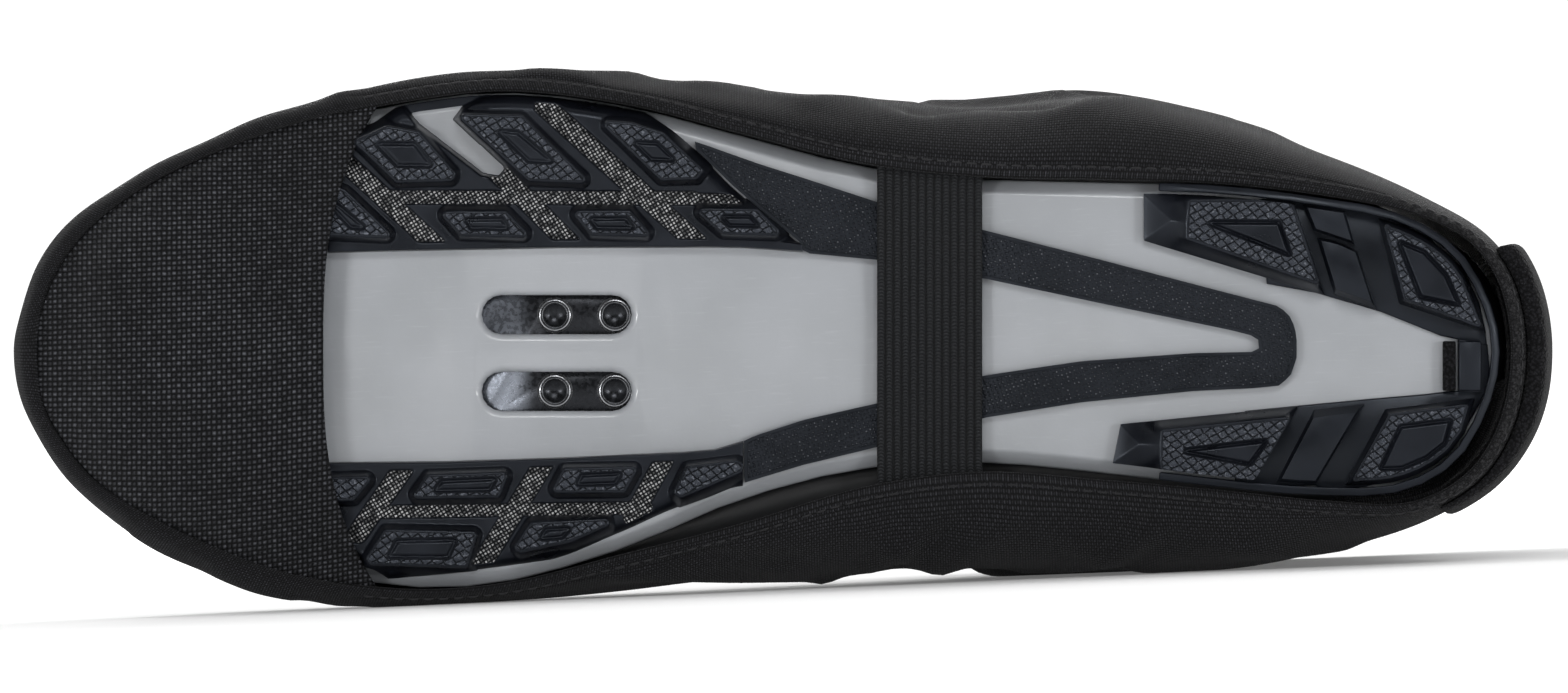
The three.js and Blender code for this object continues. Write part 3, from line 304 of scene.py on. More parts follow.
def face_outwards(obj, close=False):
    """Turns every face of a mesh to the outside. close first fills the open ends of a tube of quads."""
    with editing(obj.data) as work:
        if close:
            bmesh.ops.holes_fill(work, edges=[edge for edge in work.edges if edge.is_boundary], sides=0)
        bmesh.ops.recalc_face_normals(work, faces=work.faces)
    return obj


def grid_normals(points):
    """Outward normals of a grid whose rows run up and whose columns run round and close."""
    around = np.roll(points, -1, axis=1) - np.roll(points, 1, axis=1)
    return unit(np.cross(around, np.gradient(points, axis=0)))


def arc_lengths(points, axis=0):
    """Distance along a line, or along a grid's rows or columns, from its first point."""
    steps = np.linalg.norm(np.diff(points, axis=axis), axis=-1)
    start = np.zeros_like(np.take(steps, [0], axis=axis))
    return np.concatenate([start, np.cumsum(steps, axis=axis)], axis=axis)


def read_line(line, reach, places):
    """Points of a line at some distances along it. reach holds the distance of each of its own points."""
    return np.stack([np.interp(places, reach, column) for column in line.T], axis=-1)


def cloth_places(points):
    """Place on the cloth, in millimetres, of each corner of a grid with closed columns."""
    wrapped = np.concatenate([points, points[:, :1]], axis=1)
    return np.stack([arc_lengths(wrapped, 1), arc_lengths(wrapped, 0)], axis=-1)


def joined(name, objects):
    """One object from several, with their materials kept."""
    bpy.ops.object.select_all(action="DESELECT")
    for obj in objects:
        obj.select_set(True)
    bpy.context.view_layer.objects.active = objects[0]
    bpy.ops.object.join()
    objects[0].name = objects[0].data.name = name
    return objects[0]


def marked(obj, **marks):
    """Object with one number per point under each name, for its material."""
    for name, values in marks.items():
        layer = obj.data.attributes.new(name, "FLOAT", "POINT")
        layer.data.foreach_set("value", np.asarray(values, np.float32).ravel())
    return obj


def finish_piece(obj, slot, material, *nodes):
    """The piece rides with the shoe, takes the given material as its finish, and stands for the nodes. The
    slot is not used.
    """
    obj.data.materials.clear()
    obj.data.materials.append(material)
    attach(obj, "root")
    if nodes:
        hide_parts(*nodes)
    return obj


# Materials
class Shader:
    """A material and short calls that build its nodes. A value is a number, a colour or a node's output."""

    def __init__(self, name, **surface):
        self.material = bpy.data.materials.new(name)
        self.material.use_nodes = True
        self.tree = self.material.node_tree
        self.set(**surface)

    def set(self, **surface):
        for key, value in surface.items():
            self.put(self.tree.nodes["Principled BSDF"].inputs[key.replace("_", " ")], value)

    def put(self, socket, value):
        if isinstance(value, bpy.types.NodeSocket):
            self.tree.links.new(value, socket)
        elif socket.type == "RGBA":
            socket.default_value = (*value, 1)
        else:
            socket.default_value = value

    def node(self, kind, inputs, **properties):
        made = self.tree.nodes.new("ShaderNode" + kind)
        for key, value in properties.items():
            setattr(made, key, value)
        for key, value in inputs.items():
            self.put(made.inputs[key], value)
        return made

    def math(self, operation, first, second=0.0):
        return self.node("Math", {0: first, 1: second}, operation=operation).outputs[0]

    def plus(self, first, second):
        return self.math("ADD", first, second)

    def times(self, first, second):
        return self.math("MULTIPLY", first, second)

    def wave(self, value, period):
        """Round ridges from 0 to 1 across a value, one in each period."""
        return self.math("ABSOLUTE", self.math("SINE", self.times(value, math.pi / period)))

    def blend(self, share, low, high):
        """Colour between two colours."""
        return self.node("Mix", {0: share, 6: low, 7: high}, data_type="RGBA").outputs[2]

    def between(self, share, low, high):
        """Number between two numbers."""
        return self.node("Mix", {0: share, 2: low, 3: high}, data_type="FLOAT").outputs[0]

    def ranged(self, value, low, high, to_low=0.0, to_high=1.0):
        inputs = {"Value": value, "From Min": low, "From Max": high, "To Min": to_low, "To Max": to_high}
        return self.node("MapRange", inputs, interpolation_type="SMOOTHSTEP").outputs[0]

    def attribute(self, name):
        return self.node("Attribute", {}, attribute_name=name).outputs["Fac"]

    def millimetres(self):
        """Place in the row frame in millimetres."""
        coords = self.node("TexCoord", {}).outputs["Object"]
        return self.node("VectorMath", {0: coords, "Scale": 1000.0}, operation="SCALE").outputs[0]

    def turned(self, angle, scale=(1.0, 1.0, 1.0)):
        """Place in millimetres, turned about the row's y axis."""
        inputs = {0: self.millimetres(), "Rotation": (0, angle, 0), "Scale": scale}
        return self.node("Mapping", inputs).outputs[0]

    def parts(self, vector):
        return self.node("SeparateXYZ", {0: vector}).outputs

    def cloth(self):
        """Place on the cloth in millimetres, as two numbers."""
        return self.parts(self.node("UVMap", {}, uv_map="cloth").outputs[0])[:2]

    def noise(self, scale, detail=2.0, vector=None):
        """Noise from 0 to 1. scale is in features per millimetre."""
        inputs = {"Vector": vector or self.millimetres(), "Scale": scale, "Detail": detail}
        return self.node("TexNoise", inputs).outputs[0]

    def cells(self, scale, disorder=1.0, vector=None, feature="F1"):
        """Distance from the middles or the edges of cells. scale is in cells per millimetre."""
        inputs = {"Vector": vector or self.millimetres(), "Scale": scale, "Randomness": disorder}
        return self.node("TexVoronoi", inputs, feature=feature).outputs[0]

    def bump(self, height, distance, strength=1.0, under=None):
        """Normal from a height of 0 to 1. distance is in millimetres."""
        inputs = {"Height": height, "Distance": distance / 1000, "Strength": strength}
        if under is not None:
            inputs["Normal"] = under
        return self.node("Bump", inputs).outputs[0]


def weave_height(shader, u, v, pitch, waver):
    """Height of a plain weave of round threads, from 0 to 1, and 1 where the thread along v is on top."""
    drift = shader.noise(0.35, 1.0)
    u = shader.plus(u, shader.times(drift, waver))
    v = shader.plus(v, shader.times(drift, waver * 0.7))
    round_u, round_v = shader.wave(u, pitch), shader.wave(v, pitch)
    cell_u, cell_v = (shader.math("FLOOR", shader.math("DIVIDE", value, pitch)) for value in (u, v))
    over = shader.math("PINGPONG", shader.plus(cell_u, cell_v), 1.0)

    def thread(across, along):
        return shader.times(shader.math("POWER", across, 1.3), shader.ranged(along, 0.0, 1.0, 0.12, 1.0))

    return shader.between(over, thread(round_v, round_u), thread(round_u, round_v)), over


def canvas(name, thread, gap, pitch, depth, waver, slant=0.0, **surface):
    """Woven cloth with threads of one colour and darker gaps: its shader, normal and colour."""
    shader = Shader(name, Sheen_Roughness=0.4, **surface)
    u, v = shader.cloth()
    if slant:
        bend = shader.times(shader.noise(0.012, 0.0), 14.0)
        u = shader.plus(shader.plus(u, shader.times(v, slant)), bend)
    height, over = weave_height(shader, u, v, pitch, waver)
    fibre = shader.noise(4.0)
    uneven = shader.ranged(shader.noise(0.55 / pitch), 0.3, 0.7, 0.5, 1.0)
    tint = shader.times(shader.math("POWER", height, 1.5), shader.ranged(fibre, 0.2, 0.8, 0.6, 1.0))
    tint = shader.times(tint, shader.times(uneven, shader.between(over, 0.45, 1.0)))
    cloud = shader.ranged(shader.noise(0.03), 0.35, 0.65)
    lit = shader.blend(cloud, [c * 0.88 for c in thread], [c * 1.1 for c in thread])
    normal = shader.bump(height, depth, 0.9, shader.bump(fibre, 0.05, 0.4))
    colour = shader.blend(tint, gap, lit)
    shader.set(Base_Color=colour, Normal=normal)
    return shader, normal, colour


def shell_material():
    """Fine canvas. The point attribute "loops" marks the brushed band round the heel."""
    thread, gap = (0.058, 0.059, 0.068), (0.001, 0.001, 0.0014)
    shader, normal, colour = canvas("shell_weave", thread, gap, 0.5, 0.2, 0.14,
                                    Roughness=0.78, Sheen_Weight=0.03, Specular_IOR_Level=0.22)
    brushed = shader.ranged(shader.attribute("loops"), 0.3, 0.7)
    tuft = shader.cells(1.6)
    tint = shader.times(shader.ranged(tuft, 0.7, 0.1), shader.noise(4.0, 4.0))
    nap = shader.blend(tint, (0.003, 0.003, 0.004), (0.06, 0.06, 0.064))
    shader.set(Base_Color=shader.blend(brushed, colour, nap),
               Normal=shader.bump(shader.times(tuft, brushed), -0.35, 0.9, normal))
    return shader.material


def panel_material():
    """Heavy canvas that lies slightly askew on the toe."""
    thread, gap = (0.135, 0.14, 0.158), (0.0008, 0.0008, 0.0012)
    shader, _, _ = canvas("toe_weave", thread, gap, 0.93, 0.5, 0.3, slant=0.08,
                          Roughness=0.65, Sheen_Weight=0.01, Specular_IOR_Level=0.16)
    return shader.material


def closure_material():
    """Brushed loops of the closure at the back."""
    shader = Shader("closure_loops", Roughness=0.92, Sheen_Weight=0.06, Sheen_Roughness=0.5,
                    Specular_IOR_Level=0.15)
    tuft, fibre = shader.cells(1.9), shader.noise(5.0, 4.0)
    tint = shader.times(shader.ranged(tuft, 0.7, 0.1), fibre)
    shader.set(Base_Color=shader.blend(tint, (0.001, 0.001, 0.0015), (0.026, 0.026, 0.03)),
               Normal=shader.bump(tuft, -0.35, 0.9, shader.bump(fibre, 0.15, 0.7)))
    return shader.material


def elastic_material():
    """Knitted ribs: columns of small slanted loops with deep valleys."""
    shader = Shader("ribbed_elastic", Roughness=0.75, Sheen_Weight=0.03, Sheen_Roughness=0.4,
                    Specular_IOR_Level=0.25)
    u, v = shader.cloth()
    rib = shader.wave(u, ELASTIC_RIB)
    drift = shader.times(shader.noise(0.8), 0.5)
    loops = shader.wave(shader.plus(shader.plus(v, drift), shader.times(rib, 0.35)), ELASTIC_LOOP)
    height = shader.times(shader.math("POWER", loops, 0.6), shader.ranged(rib, 0.0, 0.8, 0.25, 1.0))
    fibre = shader.noise(5.0, 3.0)
    tint = shader.times(height, shader.ranged(fibre, 0.25, 0.75, 0.5, 1.0))
    shader.set(Base_Color=shader.blend(tint, (0.0015, 0.0015, 0.002), (0.024, 0.026, 0.029)),
               Normal=shader.bump(height, 0.25, 0.9, shader.bump(fibre, 0.06, 0.5)))
    return shader.material


def thread_material():
    shader = Shader("sewing_thread", Roughness=0.6, Sheen_Weight=0.05, Specular_IOR_Level=0.3)
    twist = shader.noise(6.0)
    shader.set(Base_Color=shader.blend(twist, (0.006, 0.006, 0.007), (0.024, 0.024, 0.027)),
               Normal=shader.bump(twist, 0.08, 0.6))
    return shader.material


def plate_material():
    """Satin grey moulded plate with broken gloss over a slightly uneven face, and fine scuffs."""
    shader = Shader("moulded_plate", Coat_Weight=0.6, Coat_Roughness=0.14, Specular_IOR_Level=0.5)
    cloud, swell, grain = shader.noise(0.05, 3.0), shader.noise(0.028, 1.0), shader.noise(2.6, 3.0)
    stretch = shader.node("VectorMath", {0: shader.millimetres(), 1: (0.12, 1.0, 1.6)}, operation="MULTIPLY")
    scuff = shader.ranged(shader.noise(1.4, 5.0, stretch.outputs[0]), 0.56, 0.78)
    base = shader.blend(shader.ranged(cloud, 0.3, 0.7), (0.335, 0.35, 0.37), (0.37, 0.385, 0.41))
    uneven = shader.bump(swell, 6.0, 1.0, shader.bump(shader.noise(0.35, 3.0), 0.12, 0.6))
    shader.set(Base_Color=shader.blend(shader.times(scuff, 0.22), base, (0.5, 0.52, 0.54)),
               Roughness=shader.ranged(grain, 0.3, 0.7, 0.32, 0.44),
               Normal=shader.bump(grain, 0.01, 0.5, uneven))
    return shader.material


def steel_material():
    """Dark steel, paler behind the toe end of the slots, with highlights painted on the bosses' rims."""
    shader = Shader("dark_steel", Metallic=0.85, Specular_IOR_Level=0.5)
    grain = shader.noise(1.2, 4.0)
    bare = shader.ranged(shader.parts(shader.millimetres())[0], -50.0, -46.0, 1.0, 0.0)
    dark = shader.blend(grain, (0.01, 0.011, 0.013), (0.035, 0.037, 0.042))
    # painted highlight: pale rings on the marked rim corners of the bosses stand in for light catching their
    # edges
    worn = shader.ranged(shader.attribute("worn"), 0.35, 0.95)
    face = shader.blend(bare, dark, (0.12, 0.13, 0.15))
    shader.set(Base_Color=shader.blend(worn, face, (0.45, 0.46, 0.48)),
               Roughness=shader.ranged(grain, 0.3, 0.7, 0.2, 0.36), Normal=shader.bump(grain, 0.02, 0.4))
    return shader.material


def shoe_material():
    """Smooth synthetic skin of the shoe with a fine pebble grain."""
    shader = Shader("shoe_synthetic", Roughness=0.42, Coat_Weight=0.12, Coat_Roughness=0.3)
    shader.set(Base_Color=shader.blend(shader.noise(0.06), (0.008, 0.0085, 0.0095), (0.014, 0.0145, 0.016)),
               Normal=shader.bump(shader.cells(0.9, 0.9), -0.06, 0.5))
    return shader.material


def insole_material():
    """Brushed fabric over foam with rows of small holes."""
    shader = Shader("insole_fabric", Roughness=0.95, Sheen_Weight=0.3, Specular_IOR_Level=0.15)
    nap = shader.noise(3.0, 4.0)
    hole = shader.ranged(shader.cells(0.16, 0.0), 0.1, 0.16)
    tint = shader.blend(nap, (0.02, 0.02, 0.022), (0.045, 0.046, 0.05))
    shader.set(Base_Color=shader.blend(hole, (0.004, 0.004, 0.004), tint),
               Normal=shader.bump(hole, 0.6, 0.8, shader.bump(nap, 0.12, 0.5)))
    return shader.material


def rubber_surface(name, dark, light, roughness):
    """Shader of moulded rubber: bluish black, with cloudy gloss and a fine grain."""
    shader = Shader(name, Specular_IOR_Level=0.3, Specular_Tint=(0.8, 0.88, 1.0))
    cloud = shader.noise(0.12, 3.0)
    colour = shader.blend(shader.ranged(cloud, 0.3, 0.7), dark, light)
    gloss = shader.ranged(cloud, 0.3, 0.7, roughness - 0.06, roughness + 0.08)
    return shader, colour, gloss, shader.noise(3.0, 3.0)


def rubber_material():
    dark, light = (0.004, 0.0047, 0.0068), (0.0075, 0.0088, 0.0125)
    shader, colour, gloss, grain = rubber_surface("tread_rubber", dark, light, 0.34)
    shader.set(Base_Color=colour, Roughness=gloss, Normal=shader.bump(grain, 0.02, 0.5))
    return shader.material


def lug_material():
    """Rubber of the lugs. The point attribute "scales" marks moulded scales on the faces, with painted light
    on their crowns, painted shade in their gaps and painted glints on flecks, and "woven" marks a dark inlay
    whose threads carry painted silver glints.
    """
    dark, light = (0.0035, 0.004, 0.006), (0.007, 0.008, 0.0115)
    shader, colour, gloss, grain = rubber_surface("lug_rubber", dark, light, 0.32)
    slant = shader.turned(0.6, (1.0, 0.0, 1.25))
    cell = shader.cells(0.62, 0.25, slant)
    rim = shader.cells(0.62, 0.25, slant, "DISTANCE_TO_EDGE")
    mask = shader.ranged(shader.attribute("scales"), 0.4, 0.8)
    scale = shader.times(shader.ranged(rim, 0.0, 0.12), shader.ranged(cell, 0.75, 0.0, 0.5, 1.0))
    fleck = shader.ranged(shader.noise(1.5, 3.0), 0.48, 0.68)
    spark = shader.times(fleck, mask)
    # painted light: the scales' crowns make the lug faces lighter than the dark walls
    lit_scale_faces = shader.blend(shader.times(scale, mask), colour, (0.034, 0.038, 0.048))
    # painted glints: bright flecks on the scaled faces
    tinted = shader.blend(shader.times(spark, 0.6), lit_scale_faces, (0.2, 0.215, 0.25))
    # painted shade: dark lines in the gaps between the scales
    tinted = shader.blend(shader.times(shader.ranged(rim, 0.1, 0.02), mask), tinted, (0.0015, 0.002, 0.003))
    woven = shader.ranged(shader.attribute("woven"), 0.4, 0.7)
    place_x, _, place_z = shader.parts(shader.turned(0.5))
    thread, _ = weave_height(shader, place_x, place_z, 0.66, 0.25)
    patches = shader.ranged(shader.noise(0.9), 0.4, 0.6, 0.15, 1.0)
    # painted glints: bright silver colour on the inlay's thread crowns, in patches, stands in for their
    # reflections
    glint = shader.times(shader.ranged(thread, 0.25, 0.85), patches)
    inlay = shader.blend(glint, (0.002, 0.0022, 0.0025), (0.62, 0.62, 0.63))
    height = shader.times(shader.plus(scale, shader.times(fleck, 0.5)), mask)
    normal = shader.bump(height, 0.5, 1.0, shader.bump(grain, 0.02, 0.5))
    shader.set(Base_Color=shader.blend(woven, tinted, inlay),
               Roughness=shader.between(woven, shader.between(spark, gloss, 0.28), 0.34),
               Normal=shader.bump(shader.times(thread, woven), 0.3, 1.0, normal))
    return shader.material


def band_material():
    """Fine moulded dots along the arch band, where the point attribute "dots" is 1, inside a plain border."""
    dark, light = (0.004, 0.0047, 0.0065), (0.007, 0.008, 0.011)
    shader, colour, gloss, grain = rubber_surface("dotted_rubber", dark, light, 0.4)
    dot = shader.ranged(shader.cells(1.3, 0.25, shader.turned(0.3, (1.0, 0.0, 1.0))), 0.45, 0.1)
    height = shader.times(dot, shader.ranged(shader.attribute("dots"), 0.7, 0.98))
    fleck = shader.ranged(shader.noise(1.1), 0.42, 0.66, 0.15, 0.75)
    # painted highlight: lighter flecks on the tops of the dots
    crown_highlight = shader.times(shader.ranged(height, 0.6, 1.0), fleck)
    shader.set(Base_Color=shader.blend(crown_highlight, colour, (0.16, 0.17, 0.19)), Roughness=gloss,
               Normal=shader.bump(height, 0.22, 1.0, shader.bump(grain, 0.02, 0.4)))
    return shader.material


# Soft parts
SHELL_COLUMNS, SHELL_ROWS_BELOW, SHELL_ROWS_ABOVE = 420, 46, 86
HEM_FOLD = 2.1
TOE_SEAM_END = 64
STITCH_LENGTH, STITCH_GAP, STITCH_RADIUS, STITCH_SIDES = 2.0, 0.75, 0.2, 6

# Soft ridges (+) and troughs (-) of the fabric: side, points as (x, level), height and half width in mm.
# side 0 stands for both sides.
CREASES = [
    (1, [(113, -2.2), (134, -0.6), (148, 0.4)], 1.3, 3.2),
    (1, [(124, -2.5), (143, -1.3)], -0.6, 2.2),
    (1, [(136, -1.6), (150, 0.2), (158, 1.4)], 0.9, 3.4),
    (1, [(157, -2.1), (165, -1.2), (172, -0.2)], 0.8, 3.0),
    (1, [(186, -2.2), (178, -1.4), (172, -0.4)], 0.7, 3.0),
    (1, [(163, -2.3), (170, -1.6), (177, -2.2)], -0.4, 3.0),
    (1, [(142, 1.6), (156, -0.2), (168, -2.0)], 0.8, 2.8),
    (1, [(149, 1.4), (160, 0.2), (172, -1.8)], -0.7, 2.4),
    (1, [(188, 1.0), (198, -0.4), (210, -2.0)], 0.8, 3.0),
    (1, [(194, 1.0), (203, 0.0), (214, -1.8)], -0.6, 2.6),
    (1, [(190, -2.2), (204, -0.8), (214, 0.4)], 0.6, 3.6),
    (1, [(228, -1.4), (246, -0.4)], 1.0, 4.2),
    (1, [(40, -1.9), (62, -1.1), (74, -0.6)], 0.9, 3.0),
    (1, [(24, -1.5), (38, -1.2), (52, -1.4)], 0.6, 2.2),
    (-1, [(98, -1.6), (112, -0.6), (119, 0.6)], 0.9, 4.0),
    (-1, [(119, 0.2), (128, 0.8)], -0.9, 3.6),
    (-1, [(128, -0.6), (136, 0.6)], 0.7, 3.8),
    (-1, [(148, -1.0), (158, 0.2), (166, 1.0)], 0.8, 4.0),
    (-1, [(168, -0.6), (179, 0.3), (192, -0.4)], -1.9, 4.2),
    (-1, [(171, 2.4), (181, 2.6), (194, 2.2)], 2.3, 5.2),
    (-1, [(196, -0.8), (212, 0.2), (232, 0.6)], 0.8, 5.6),
    (-1, [(178, 4.6), (196, 4.2), (214, 3.4)], 1.2, 4.4),
    (-1, [(62, -1.6), (84, -1.1), (106, -1.6)], 0.6, 3.0),
    (0, [(122, 6.8), (148, 5.2), (172, 4.2)], 1.8, 5.4),
    (0, [(140, 8.2), (168, 6.6), (200, 5.6), (226, 5.2)], 2.2, 5.8),
    (0, [(128, 7.4), (154, 5.9), (184, 4.9)], -1.2, 3.8),
    (0, [(160, 9.2), (186, 8.0), (214, 7.4)], 1.6, 5.4),
    (0, [(172, 10.2), (200, 9.4), (236, 9.6)], 1.1, 5.4),
    (0, [(246, 6.4), (262, 5.2), (272, 3.8)], 1.2, 5.2),
    (0, [(252, 9.0), (264, 7.6)], 0.9, 5.0),
]
FLOOR_CLEARANCE = 0.05
# Padding inside the shell's inner side at the heel
LINING_SWELL = 6.0


def turn_at(side, x, level):
    """Turn of the shell's point at a distance x from the toe, on one side and at one level."""
    at = max(level, 0)
    front = SKIN_LENGTH * read_curve(PROFILE[:, 0], PROFILE[:, 1], at)
    rear = SKIN_LENGTH * read_curve(PROFILE[:, 0], PROFILE[:, 3], at)
    if level < 0:
        front, rear = HEM_SETBACK * level / HEM_LEVEL, SKIN_LENGTH - HEM_SETBACK * level / HEM_LEVEL
    turn = round_share((x - front) / (rear - front)) / 2
    return turn if side < 0 else 1 - turn


def distance_to_line(points, line):
    """Distance of each point from a line through a few points."""
    best = np.full(points.shape[:-1], 1e9)
    for start, end in zip(line[:-1], line[1:]):
        step = end - start
        share = np.clip((points - start) @ step / max(step @ step, 1e-9), 0, 1)
        best = np.minimum(best, np.linalg.norm(points - start - share[..., None] * step, axis=-1))
    return best


def crease_heights(points):
    """How far the creases raise each point of the shell."""
    raised = np.zeros(points.shape[:-1])
    for side, spots, height, width in CREASES:
        spots = np.array(spots, float)
        share = np.linspace(0, len(spots) - 1, 5 * len(spots))
        xs = np.interp(share, np.arange(len(spots)), spots[:, 0])
        levels = np.interp(share, np.arange(len(spots)), spots[:, 1])
        for hand in ([side] if side else [-1, 1]):
            line = np.array([skin(turn_at(hand, x, level), level) for x, level in zip(xs, levels)])
            raised += height * np.exp(-(distance_to_line(points, line) / width) ** 2)
    return raised


def shell_relief(points, climb, levels):
    """Height of creases, folded hem, the toe's puffed seam and the collar's band over the plain shell."""
    x = points[..., 0]
    drop = climb[-1] - climb
    relief = crease_heights(points) * smooth(climb, 0.6, 4.0)
    calm = smooth(climb, 3, 12) * smooth(x, 70, 120)
    relief += 0.28 * np.sin(x / 13 + levels * 1.7) * np.sin(levels * 1.1 - x / 23) * calm
    fold = 1 - smooth(climb, HEM_FOLD, HEM_FOLD + 0.5)
    toe = 1 - smooth(x, TOE_SEAM_END - 5, TOE_SEAM_END + 3)
    relief += (1 - toe) * (0.2 * fold - 0.22 * np.exp(-((climb - HEM_FOLD - 0.35) / 0.35) ** 2))
    puckers = 1 + 0.35 * np.sin(x / 4.1) * np.sin(x / 9.7)
    puff = 0.9 * smooth(climb, 0, 2.6) * (1 - smooth(climb, 4.5, 10)) * puckers
    relief += toe * (puff - 0.5 * (1 - smooth(climb, 0, 1.2)))
    relief += 0.3 * (1 - smooth(drop, 14, 14.6)) - 0.3 * np.exp(-((drop - 14.9) / 0.4) ** 2)
    return relief


def rest_on_floor(points):
    """Flattens what would hang below the floor."""
    below = -place(points)[..., 2] * 1000 + FLOOR_CLEARANCE
    points[..., 1] -= np.maximum(0, below) / math.cos(ROLL)
    return points


def lip(start, end, outward, steps=3):
    """Rows that round the edge between an outer and an inner row."""
    middle, half = (start + end) / 2, (start - end) / 2
    reach = outward * np.linalg.norm(half, axis=-1, keepdims=True)
    angles = np.linspace(0, math.pi, steps + 2)[1:-1]
    return [middle + half * math.cos(angle) + reach * math.sin(angle) for angle in angles]


def calmed(points, share, passes=60):
    """Grid whose points are drawn towards their neighbours, as far as the share of each says."""
    for _ in range(passes):
        mean = points.copy()
        mean[1:-1] = (points[2:] + points[:-2]) / 2
        mean = (mean + (np.roll(points, 1, axis=1) + np.roll(points, -1, axis=1)) / 2) / 2
        points = mix(points, mean, share[..., None])
    return points


def build_shell(material):
    """The shell as one grid: outside, collar, inside and hem. Gives the outside's points and distances up."""
    below = np.linspace(HEM_LEVEL, 0, SHELL_ROWS_BELOW, endpoint=False)
    levels = np.concatenate([below, np.linspace(0, COLLAR_LEVEL, SHELL_ROWS_ABOVE)])
    turn, level = np.meshgrid(np.arange(SHELL_COLUMNS) / SHELL_COLUMNS, levels)
    plain = skin(turn, level)
    climb = arc_lengths(plain)
    outer = plain + grid_normals(plain) * shell_relief(plain, climb, level)[..., None]
    x, y = plain[..., 0], plain[..., 1]
    over_toes = smooth(x, 6, 14) * (1 - smooth(x, 70, 90)) * smooth(level, 0.6, 1.2)
    outer = rest_on_floor(calmed(outer, over_toes * (1 - smooth(np.abs(y), 9, 15))))
    last = len(levels) - 1
    inner_rows = np.unique([*range(0, SHELL_ROWS_BELOW, 6), *range(SHELL_ROWS_BELOW, last, 5), last])
    inside_heel = smooth(x, 234, 246) * smooth(y, 2, 9) * smooth(climb, 4, 9) * (1 - smooth(climb, 26, 36))
    wall = SKIN_WALL + LINING_SWELL * inside_heel
    inner = (outer - grid_normals(outer) * wall[..., None])[inner_rows][::-1]
    top_lip = lip(outer[-1], inner[0], unit(outer[-1] - outer[-2]))
    hem_lip = lip(inner[-1], outer[0], unit(outer[0] - outer[1]))
    points = np.concatenate([outer, top_lip, inner, hem_lip])
    across = cloth_places(points)[40, :, 0]
    upward = arc_lengths(points)
    rows = upward.mean(axis=1)
    uv = np.stack(np.broadcast_arrays(across[None, :], np.append(rows, rows[-1] + 0.3)[:, None]), axis=-1)
    obj = grid_object("overshoe_shell", points, closed_rows=True, closed_columns=True, uv=uv)
    heel = smooth(points[..., 0], 254, 262) * (1 - smooth(upward, 15, 17)) * (points[..., 1] < 34)
    face_outwards(marked(obj, loops=heel))
    finish_piece(obj, "shell_fabric", material, "overshoe_upper")
    return outer, climb


def build_stitches(line, way, material):
    """The hem's stitches: short threads that rise from the cloth and dip back into it."""
    reach = arc_lengths(line)
    count = int(reach[-1] / (STITCH_LENGTH + STITCH_GAP))
    centres = (np.arange(count) + 0.5) * reach[-1] / count
    shares = np.array([-0.5, -0.44, -0.2, 0.2, 0.44, 0.5])
    places = centres[:, None] + shares * STITCH_LENGTH
    spot, up = read_line(line, reach, places), unit(read_line(way, reach, places))
    along = unit(spot[:, -1:] - spot[:, :1]) * np.ones((1, len(shares), 1))
    side = unit(np.cross(along, up))
    rise = STITCH_RADIUS * np.array([-1.0, -0.2, 0.55, 0.55, -0.2, -1.0])
    radius = STITCH_RADIUS * np.array([0.25, 0.8, 1.0, 1.0, 0.8, 0.25])
    angles = np.arange(STITCH_SIDES) * 2 * math.pi / STITCH_SIDES
    ring = up[:, :, None] * np.sin(angles)[:, None] + side[:, :, None] * np.cos(angles)[:, None]
    points = (spot + up * rise[:, None])[:, :, None] + ring * radius[:, None, None]
    size = STITCH_SIDES * len(shares)
    faces, _ = grid_faces(len(shares), STITCH_SIDES, closed_columns=True)
    one = [*faces.tolist(), range(STITCH_SIDES), range(size - 1, size - STITCH_SIDES - 1, -1)]
    every = [[corner + start * size for corner in face] for start in range(count) for face in one]
    obj = face_outwards(mesh_object("hem_stitches", points.reshape(-1, 3), every))
    return finish_piece(obj, "shell_fabric", material)


def row_at(grid, climb, reach):
    """Points of a grid at one distance up from its first row."""
    return np.array([read_line(grid[:, i], climb[:, i], reach) for i in range(grid.shape[1])])


# Toe panel
PANEL_THICKNESS, PANEL_DROP, PANEL_TOE_GAP, PANEL_GAP = 1.5, 4.6, 0.2, 0.12
PANEL_CENTRE_LENGTH, PANEL_SIDE_LENGTH, PANEL_BULGE_END = 57, 67, 20


def panel_height(x, share):
    bulge = (1 - np.abs(share) ** 4) * smooth(x, HEM_SETBACK, PANEL_BULGE_END)
    return hem_height(x) - PANEL_DROP * bulge


def panel_grid(rows, columns):
    share, opening = np.meshgrid(np.sin(np.linspace(-1, 1, columns) * math.pi / 2),
                                 1 - np.cos(np.linspace(0, 1, rows) * math.pi / 2))
    front = HEM_SETBACK + PANEL_TOE_GAP + 2 * PANEL_GAP
    x = mix(front, mix(PANEL_CENTRE_LENGTH, PANEL_SIDE_LENGTH, np.abs(share) ** 3), opening)
    half = np.minimum(hem_half(share, x), hem_half(share, x - PANEL_TOE_GAP)) - PANEL_GAP
    return np.stack([x, share * half, panel_height(x, share)], axis=-1)


